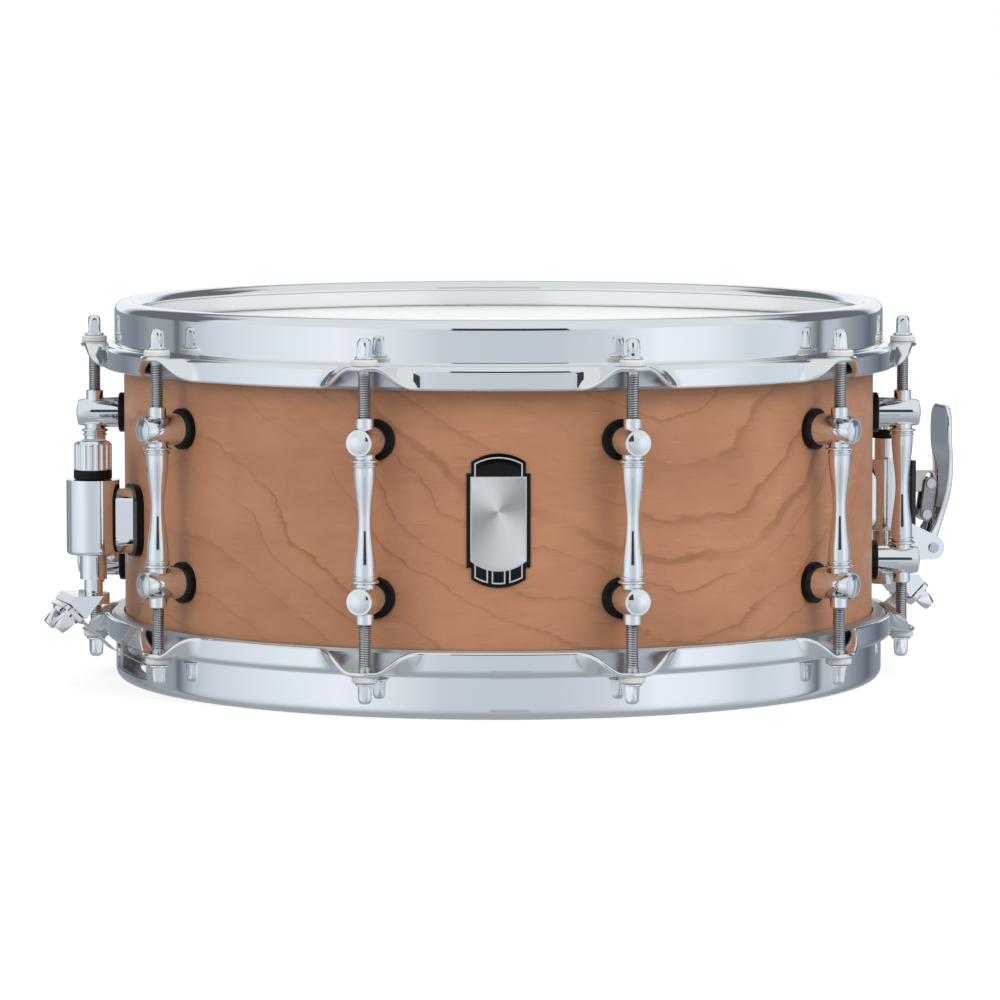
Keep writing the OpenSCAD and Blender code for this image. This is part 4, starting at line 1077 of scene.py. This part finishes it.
class DRUM_OT_lugs(bpy.types.Operator):
    """Make the ten turned tube lugs, the rubber rings behind them and their screws' finish"""

    bl_idname = "drum.lugs"
    bl_label = "Tube lugs"

    def execute(self, context):
        size = measures()
        tube_shape = placed(self.tube(size), (ROD_R, 0, 0))
        post = placed(self.post(size), (SHELL_R + 3, 0, POST_Z), x=(0, 1, 0), y=(0, 0, 1),
                      z=(1, 0, 0))
        lug = join(tube_shape, both(post))
        piece("tube_lugs_turned", join(*[spun(lug, a) for a in LUGS]), "drum",
              chrome_plate(), "chrome", "tube_lugs")
        ring = self.gasket(size)
        piece("lug_gaskets_moulded", join(*[spun(both(ring), a) for a in LUGS]), "drum",
              rubber(), "rubber_black", "lug_gaskets")
        finish_node(plated_steel(), "lug_screws")
        return {"FINISHED"}

    def tube(self, size):
        """Half of the tube from its waist, then its mirror: a hollow curve out to the plain
        end, r = waist + rise sin^2 of a quarter turn, two rings and a neck, and past the post
        a collar bored for the rod."""
        end, waist = size.tube_d / 2, size.waist_d / 2
        t = np.linspace(0.04, 1, 18)
        hollow = np.column_stack([waist + (end - waist) * np.sin(math.pi / 2 * t) ** 2, 23 * t])
        outer = rounded([(end, 23.2), (end, 24.2), (end + 0.7, 24.5), (end + 0.7, 25.1),
                         (end + 0.1, 25.5), (end + 0.1, 25.9), (end + 1.35, 26.6),
                         (end + 1.35, 27.3), (end - 0.3, 27.9), (end - 0.4, 33)],
                        [0, 0.1, 0.25, 0.25, 0.15, 0.15, 0.3, 0.3, 0.2, 0], 4)
        collar = rounded([(3.2, 40), (4.1, 40.3), (4.1, 46), (3.1, 46), (3.1, 36), (0, 36)],
                         [0, 0, 0.45, 0.25, 0, 0], 4)
        half = np.concatenate([[(waist, 0)], hollow, outer, collar])
        return turned(np.concatenate([half[::-1] * (1, -1), half[1:]]), 48)

    def post(self, size):
        """A post from its gasket outwards: it tapers with the run and with the fourth power of
        the run to a rounded rim, and its face is slightly domed."""
        r, reach = size.post_d / 2, ROD_R + 8.8 - SHELL_R - 3
        run = np.linspace(0, 1, 16)
        barrel = np.column_stack([r + 0.75 - 0.2 * run - 1.0 * run ** 4,
                                  (reach - 1.2) * run])
        face_line = [(5.2 * d, reach - 0.85 * d * d) for d in np.linspace(1, 0, 10)]
        rim = rounded([barrel[-2], barrel[-1] + (-0.15, 0.45), face_line[0]], [0, 0.5, 0], 6)
        return turned(np.concatenate([[(0, -0.5), (r - 0.42, -0.5)], barrel[:-1], rim[1:],
                                      face_line[1:]]), 48)

    def gasket(self, size):
        """A rubber ring on the curved shell: its back follows the shell's radius, and its
        front edge is well rounded."""
        r, inner = size.gasket_d / 2, size.post_d / 2 - 1.2
        section = rounded([(inner, -2.2), (r, -2.2), (r, 3), (inner, 3)],
                          [0, 0, 1.5, 0], 6, closed=True)
        a = np.arange(48) * TAU / 48
        y = np.outer(section[:, 0], np.cos(a))
        z = np.outer(section[:, 0], np.sin(a))
        back = np.sqrt(SHELL_R ** 2 - y ** 2)
        share = np.clip((section[:, 1:] + 2.2) / 5.2, 0, 1)
        x = back * (1 - share) + (SHELL_R + 3) * share
        points = np.stack([x, y, z + POST_Z], -1)
        return outward(weld(grid(points, wrap_u=True, wrap_v=True)))


class DRUM_OT_rods(bpy.types.Operator):
    """Make the twenty threaded tension rods and their nylon washers"""

    bl_idname = "drum.rods"
    bl_label = "Tension rods"

    def execute(self, context):
        size = measures()
        head = chrome_plate()
        # the thread's finish darkens its roots with painted shade
        thread = plated_steel("steel_thread_nickel_plated", low=0.14, high=0.24, painted_root_shade=True)
        rod = self.rod(size)
        # how deep each point lies in the thread, 0 to 1, kept on the mesh for the thread's
        # painted shade
        deep = (size.rod_d / 2 - np.hypot(*rod.co[:, :2].T)) / size.thread_depth
        deep = (deep * (rod.co[:, 2] < 67)).clip(0, 1).astype(np.float32)
        for side in ("batter", "snare"):
            for number, angle in enumerate(LUGS, 1):
                node = f"{side}_rod_{number:02d}"
                turn = math.radians(number * 37 + (20 if side == "snare" else 0))
                made = placed(rod, x=(math.cos(turn), math.sin(turn), 0),
                              y=(-math.sin(turn), math.cos(turn), 0))
                made = spun(placed(made, (ROD_R, 0, 0)), angle)
                made = piece(node + "_threaded", made if side == "batter" else flipped(made),
                             node, thread, "rod_steel", node, sharp=26)
                # the depth mask that darkens the thread's roots with painted shade
                painted_root_shade = made.data.attributes.new("root_shade_mask", "FLOAT", "POINT")
                painted_root_shade.data.foreach_set("value", deep)
                centres = np.empty(len(made.data.polygons) * 3, np.float32)
                made.data.polygons.foreach_get("center", centres)
                up = np.abs(centres.reshape(-1, 3)[:, 2] * 1000 - MID)
                made.data.materials.append(head)
                is_head = (up > SEAT_Z - 0.1).astype(np.int32)
                made.data.polygons.foreach_set("material_index", is_head)
        outer, top = size.washer_d / 2, SEAT_Z - 0.2
        ring = turned(rounded([(3.0, FLANGE_Z), (outer, FLANGE_Z), (outer, top), (3.0, top)],
                              [0.2, 0.5, 0.9, 0.4], 4, closed=True), 40, ring=True)
        ring = both(placed(ring, (ROD_R, 0, 0)))
        piece("rod_washers_turned", join(*[spun(ring, a) for a in LUGS]), "drum", nylon(),
              "nylon_cream", "rod_washers")
        return {"FINISHED"}

    def rod(self, size):
        """Distance from the axis as a function of height and angle. The thread takes off a
        depth that is a triangle wave of height over pitch less one turn of angle; the key
        head is the smaller of a square and a blunt cone."""
        count = 32
        a = np.arange(count) * TAU / count
        r = size.rod_d / 2
        low, seat = 23.4, SEAT_Z
        z = np.arange(low + 0.8, 66.5, size.thread_pitch / 4)
        phase = (z[:, None] / size.thread_pitch - a[None] / TAU) % 1
        wave = 1 - np.abs(2 * phase - 1)
        fade = smooth(z, low, low + 1.5) * (1 - smooth(z, 64.5, 66.3))
        thread = r - size.thread_depth * fade[:, None] * wave
        plain = lambda radius: np.full(count, radius)
        rows = [(0, low), (r - 0.9, low), (r - 0.7, low + 0.4)]
        under = [(r, 67.5), (r, seat), (r, seat), (4.35, seat), (4.6, seat + 0.2),
                 (4.6, seat + 0.7), (4.4, seat + 0.95), (4.1, seat + 1.0)]
        square = size.key_half / np.maximum(np.abs(np.cos(a)), np.abs(np.sin(a)))
        head_z = np.array([1.02, 1.3, 2, 3.2, 4.6, 6, 7, 7.7, 8.3, 8.8, 9.15, 9.33, 9.4])
        cone = np.array([3.9, 3.6, 3.5, 3.45, 3.4, 3.35, 3.25, 3.1, 2.85, 2.45, 1.85, 1.1, 0])
        head = np.minimum(square[None], cone[:, None])
        radius = np.concatenate([
            [plain(p[0]) for p in rows], thread, [plain(p[0]) for p in under], head])
        height = np.concatenate([[p[1] for p in rows], z, [p[1] for p in under],
                                 seat + head_z])
        return radial(radius, height[:, None])


class DRUM_OT_anchors(bpy.types.Operator):
    """Make the strainer's and the butt's housings with their gaskets and screws"""

    bl_idname = "drum.anchors"
    bl_label = "Housings"

    def execute(self, context):
        for side in ("strainer", "butt"):
            softened(side + "_housing", "drum", chrome_plate(), "chrome", 0.5)
            softened(side + "_gasket", "drum", rubber(), "rubber_black", 0.9, 4)
        finish_node(plated_steel(), "anchor_screws")
        return {"FINISHED"}


class DRUM_OT_throw_off(bpy.types.Operator):
    """Make the throw-off: bracket, guide, piston, yoke, links, pins and lever"""

    bl_idname = "drum.throw_off"
    bl_label = "Throw-off"

    def execute(self, context):
        chrome, steel = chrome_plate(), plated_steel()
        links = plated_steel("steel_phosphated_grey", linear("#a39fa0"), 0.26, 0.4)
        brass = plated_steel("brass_nickel_washed", linear("#c3bfb3"), 0.14, 0.26)
        for node, body, finish, slot, width, segments in (
                ("strainer_bracket", "drum", chrome, "chrome", 0.4, 3),
                ("strainer_guide", "drum", acetal(), "plastic_black", 0.3, 3),
                ("lever_pin", "drum", steel, "rod_steel", 0.3, 3),
                ("strainer_piston", "strainer_piston", chrome, "chrome", 0.4, 3),
                ("strainer_yoke", "strainer_piston", brass, "yoke_brass", 0.3, 3),
                ("strainer_links", "strainer_links", links, "link_steel", 0.25, 3),
                ("link_pins", "strainer_links", steel, "rod_steel", 0.15, 2)):
            softened(node, body, finish, slot, width, segments)
        self.lever(chrome)
        return {"FINISHED"}

    def lever(self, chrome):
        """A dished lever as a closed cage of rows and columns: rows climb from the hub to the
        tip; columns run from one side's edge over the back to the other, and return over the
        floor of the dish, whose depth varies with the row. The cage is divided smooth. A bored
        hub and the tongue that takes the links stand between its sides."""
        # height over the pivot, back, sides' edge, half width, thickness of the floor
        rows = np.array([
            (-3.6, 0.4, -2.6, 7.2, 0), (-3.2, 1.6, -3.6, 7.9, 0.6), (0, 3.2, -3.9, 7.9, 1.6),
            (4, 4.0, -3.2, 7.9, 1.7), (8, 4.9, -0.4, 7.9, 1.7), (13.7, 6.7, 2.9, 7.9, 1.6),
            (18.5, 8.2, 4.5, 8.3, 1.6), (23.4, 9.5, 5.7, 9.0, 1.6), (28.3, 10.3, 6.5, 9.7, 1.6),
            (33.2, 10.7, 7.3, 10.1, 1.6), (38, 10.8, 7.6, 10.3, 1.6), (42, 10.7, 7.6, 10.4, 1.8),
            (45.4, 10.4, 7.4, 10.8, 2.1), (48.5, 10.0, 7.0, 11.3, 2.6), (53, 9.7, 6.7, 11.4, 2.6),
            (59, 9.7, 6.7, 11.3, 2.6), (64, 9.7, 6.7, 10.8, 2.6), (67.2, 9.6, 6.8, 9.5, 2.6),
            (69, 9.2, 7.2, 7.5, 1.7), (69.5, 8.4, 7.9, 6.3, 0)])
        z, back, edge, half, floor = rows.T[:, :, None]
        side = np.array([-1, -1, -0.86, -0.45, 0, 0.45, 0.86, 1, 1])[None]
        depth = np.array([0, 0.72, 1, 1, 1, 1, 1, 0.72, 0])[None]
        outer = np.stack([edge + (back - edge) * depth + 0.3 * (1 - side ** 2) * (floor > 0),
                          half * side, z + 0 * side], -1)
        gap = (back - edge - floor).clip(0)
        inner = np.stack([edge + gap * depth, (half - 1.1 * (floor > 0)) * side,
                          z + 0 * side], -1)
        inner[[0, -1]] = outer[[0, -1]]
        cage = np.concatenate([outer, inner[:, ::-1]], 1) + LEVER_PIVOT
        made = piece("throw_lever_dished", outward(weld(grid(cage, wrap_v=True))),
                     "throw_lever", chrome, "chrome", "throw_lever", sharp=80)
        divide = made.modifiers.new("smooth", "SUBSURF")
        divide.levels = divide.render_levels = 3
        hub = turned(rounded([(2.3, -6.4), (4.5, -6.4), (4.5, 6.4), (2.3, 6.4)], 0.4, 4,
                             closed=True), 40, ring=True)
        hub = placed(hub, LEVER_PIVOT, y=(0, 0, 1), z=(0, -1, 0))
        tongue = rounded([(-3.9, 15.0), (-2.8, 12.7), (1.0, 12.7), (8.0, 13.6), (9.0, 19.4),
                          (1.0, 18.7), (-2.8, 18.5)], 1.2, 4, closed=True)
        tongue = placed(prism(tongue, -1.9, 1.9), LEVER_PIVOT, y=(0, 0, 1), z=(0, -1, 0))
        piece("throw_lever_hub", join(hub, tongue), "throw_lever", chrome, "chrome", sharp=30)


class DRUM_OT_adjusters(bpy.types.Operator):
    """Make the fluted knobs, their rings, the hangers, clamp plates and screws"""

    bl_idname = "drum.adjusters"
    bl_label = "Adjusters"

    def execute(self, context):
        size = measures()
        chrome = chrome_plate()
        for side, sign in (("strainer", 1), ("butt", -1)):
            body = side + "_knob"
            base = span(side + "_knob_ring")[1][2]
            knob = placed(self.knob(size, base), (sign * ANCHOR_R, 0, 0))
            piece(body + "_fluted", knob, body, chrome, "chrome", body, sharp=30)
            softened(side + "_knob_ring", body, rubber(), "rubber_black", 0.6, 4)
            clamp = side + "_clamp"
            softened(side + "_hanger", clamp, chrome, "chrome", 0.45)
            softened(clamp + "_plate", clamp, chrome, "chrome", 0.4)
            softened(clamp + "_screws", clamp, chrome, "chrome", 0.5)
        return {"FINISHED"}

    def knob(self, size, base):
        """Distance from the axis as a function of height and angle: a plain barrel, less its
        round flutes. A flute's bottom lies at c cos d - sqrt(q^2 - c^2 sin^2 d),
        for its axis at radius c, its own radius q and the angle d from its middle."""
        r, top = size.knob_d / 2, base + 12
        profile = rounded([(0, base), (r - 0.1, base), (r, base + 0.3), (r, top),
                           (r - 1.44, top + 1.26), (r - 3.06, top + 1.8), (0, top + 1.8)],
                          [0, 0.3, 0.2, 1.6, 1.2, 1.6, 0], 5)
        plain = np.flatnonzero(profile[:, 0] > r - 0.01)[0]
        steps = base + np.array([0.4, 0.6, 0.8, 1.0, 3, 6, 10])
        held = np.concatenate([profile[:plain + 1], np.column_stack([steps * 0 + r, steps]),
                               profile[np.flatnonzero(profile[:, 1] > base + 10.05)]])
        flutes, count = 18, 288
        a = np.arange(count) * TAU / count
        d = ((a * flutes / TAU + 0.5) % 1 - 0.5) * TAU / flutes
        c, q = r + 0.5, 1.1
        across = c * np.sin(d)
        groove = np.where(np.abs(across) < q, c * np.cos(d)
                          - np.sqrt(np.maximum(q * q - across ** 2, 0)), r)
        depth = np.maximum(r - groove, 0)
        on = smooth(held[:, 1], base + 0.3, base + 0.8)
        radius = np.minimum(held[:, :1], r - depth[None] * on[:, None])
        body = radial(radius, held[:, 1:])
        stem = turned([(0, base - 20), (2.8, base - 20), (2.8, base + 2), (0, base + 2)], 24)
        return join(body, stem)


class DRUM_OT_snares(bpy.types.Operator):
    """Make the snare coils, their end plates and the two straps"""

    bl_idname = "drum.snares"
    bl_label = "Snares"

    def execute(self, context):
        size = measures()
        low, high = span("snare_wires")
        steel = plated_steel("steel_wire_drawn", linear("#b3b5b8"), 0.2, 0.34)
        reach = high[0] - 0.2
        turns = 2 * reach / size.coil_pitch
        t = np.linspace(0, 1, int(turns * 8) + 1)
        wire = 0.22
        middle = (low[2] + high[2]) / 2
        coil_r = size.coil_d / 2 - wire
        coil = tube(np.column_stack([
            (2 * t - 1) * reach, coil_r * np.cos(TAU * turns * t),
            middle + coil_r * np.sin(TAU * turns * t)]), wire, 3)
        rows = (np.arange(20) - 9.5) * (high[1] - low[1] - size.coil_d) / 19
        piece("snare_wires_coiled", join(*[placed(coil, (0, y, 0)) for y in rows]), "drum",
              steel, "wire_steel", "snare_wires")
        brass = plated_steel("brass_plate", tuple(bpy.context.scene.drum_colours.brass), 0.2,
                             0.34)
        softened("snare_end_plates", "drum", brass, "plate_brass", 0.2, 2)
        for side, sign, body in (("strainer", 1, "strainer_piston"),
                                 ("butt", -1, "butt_clamp")):
            strap = self.strap(side)
            made = piece(side + "_strap_film", strap if sign > 0 else spun(strap, math.pi),
                         None, strap_film(), "strap_film", side + "_strap")
            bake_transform(made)
        return {"FINISHED"}

    def strap(self, side):
        """A flat strap under the end plate, through the gate and up into the clamp: a
        rounded path carried across the strap's width."""
        low, high = span(side + "_strap")
        tip = max(abs(low[0]), abs(high[0]))
        inner = min(abs(low[0]), abs(high[0]))
        floor, top, half = low[2] + 0.2, high[2], high[1]
        slope = np.full(2, math.sqrt(0.5))
        end = np.array([tip - 0.15, top - 0.15])
        heel = end - slope * 12
        path = rounded([(inner, floor), (SHELL_R - 4, floor), (189.8, -71.2), heel, end],
                       [0, 8, 8, 6, 0], 6)
        y = np.linspace(-half, half, 9)
        middle = np.empty((len(path), len(y), 3))
        middle[..., 0], middle[..., 2] = path[:, :1], path[:, 1:]
        middle[..., 1] = y[None]
        return sheet(middle, 0.4, wrap_v=False)


class DRUM_PT_panel(bpy.types.Panel):
    """The drum's operators, sizes and colours"""

    bl_label = "Snare drum"
    bl_space_type = "VIEW_3D"
    bl_region_type = "UI"
    bl_category = "Snare drum"

    def draw(self, context):
        for operator in OPERATORS:
            self.layout.operator(operator.bl_idname)
        for group in (context.scene.drum_sizes, context.scene.drum_colours):
            box = self.layout.box()
            for key in type(group).__annotations__:
                box.prop(group, key)


OPERATORS = (
    DRUM_OT_stage, DRUM_OT_shell, DRUM_OT_badge, DRUM_OT_heads, DRUM_OT_hoops, DRUM_OT_lugs,
    DRUM_OT_rods, DRUM_OT_anchors, DRUM_OT_throw_off, DRUM_OT_adjusters, DRUM_OT_snares)
CLASSES = (DrumSizes, DrumColours, *OPERATORS, DRUM_PT_panel)


def register():
    for cls in CLASSES:
        bpy.utils.register_class(cls)
    bpy.types.Scene.drum_sizes = bpy.props.PointerProperty(type=DrumSizes)
    bpy.types.Scene.drum_colours = bpy.props.PointerProperty(type=DrumColours)


def unregister():
    del bpy.types.Scene.drum_sizes, bpy.types.Scene.drum_colours
    for cls in reversed(CLASSES):
        bpy.utils.unregister_class(cls)


def main():
    """Makes the stage and every piece in order."""
    register()
    for operator in OPERATORS:
        group, call = operator.bl_idname.split(".")
        getattr(getattr(bpy.ops, group), call)()


if __name__ == "__main__":
    main()
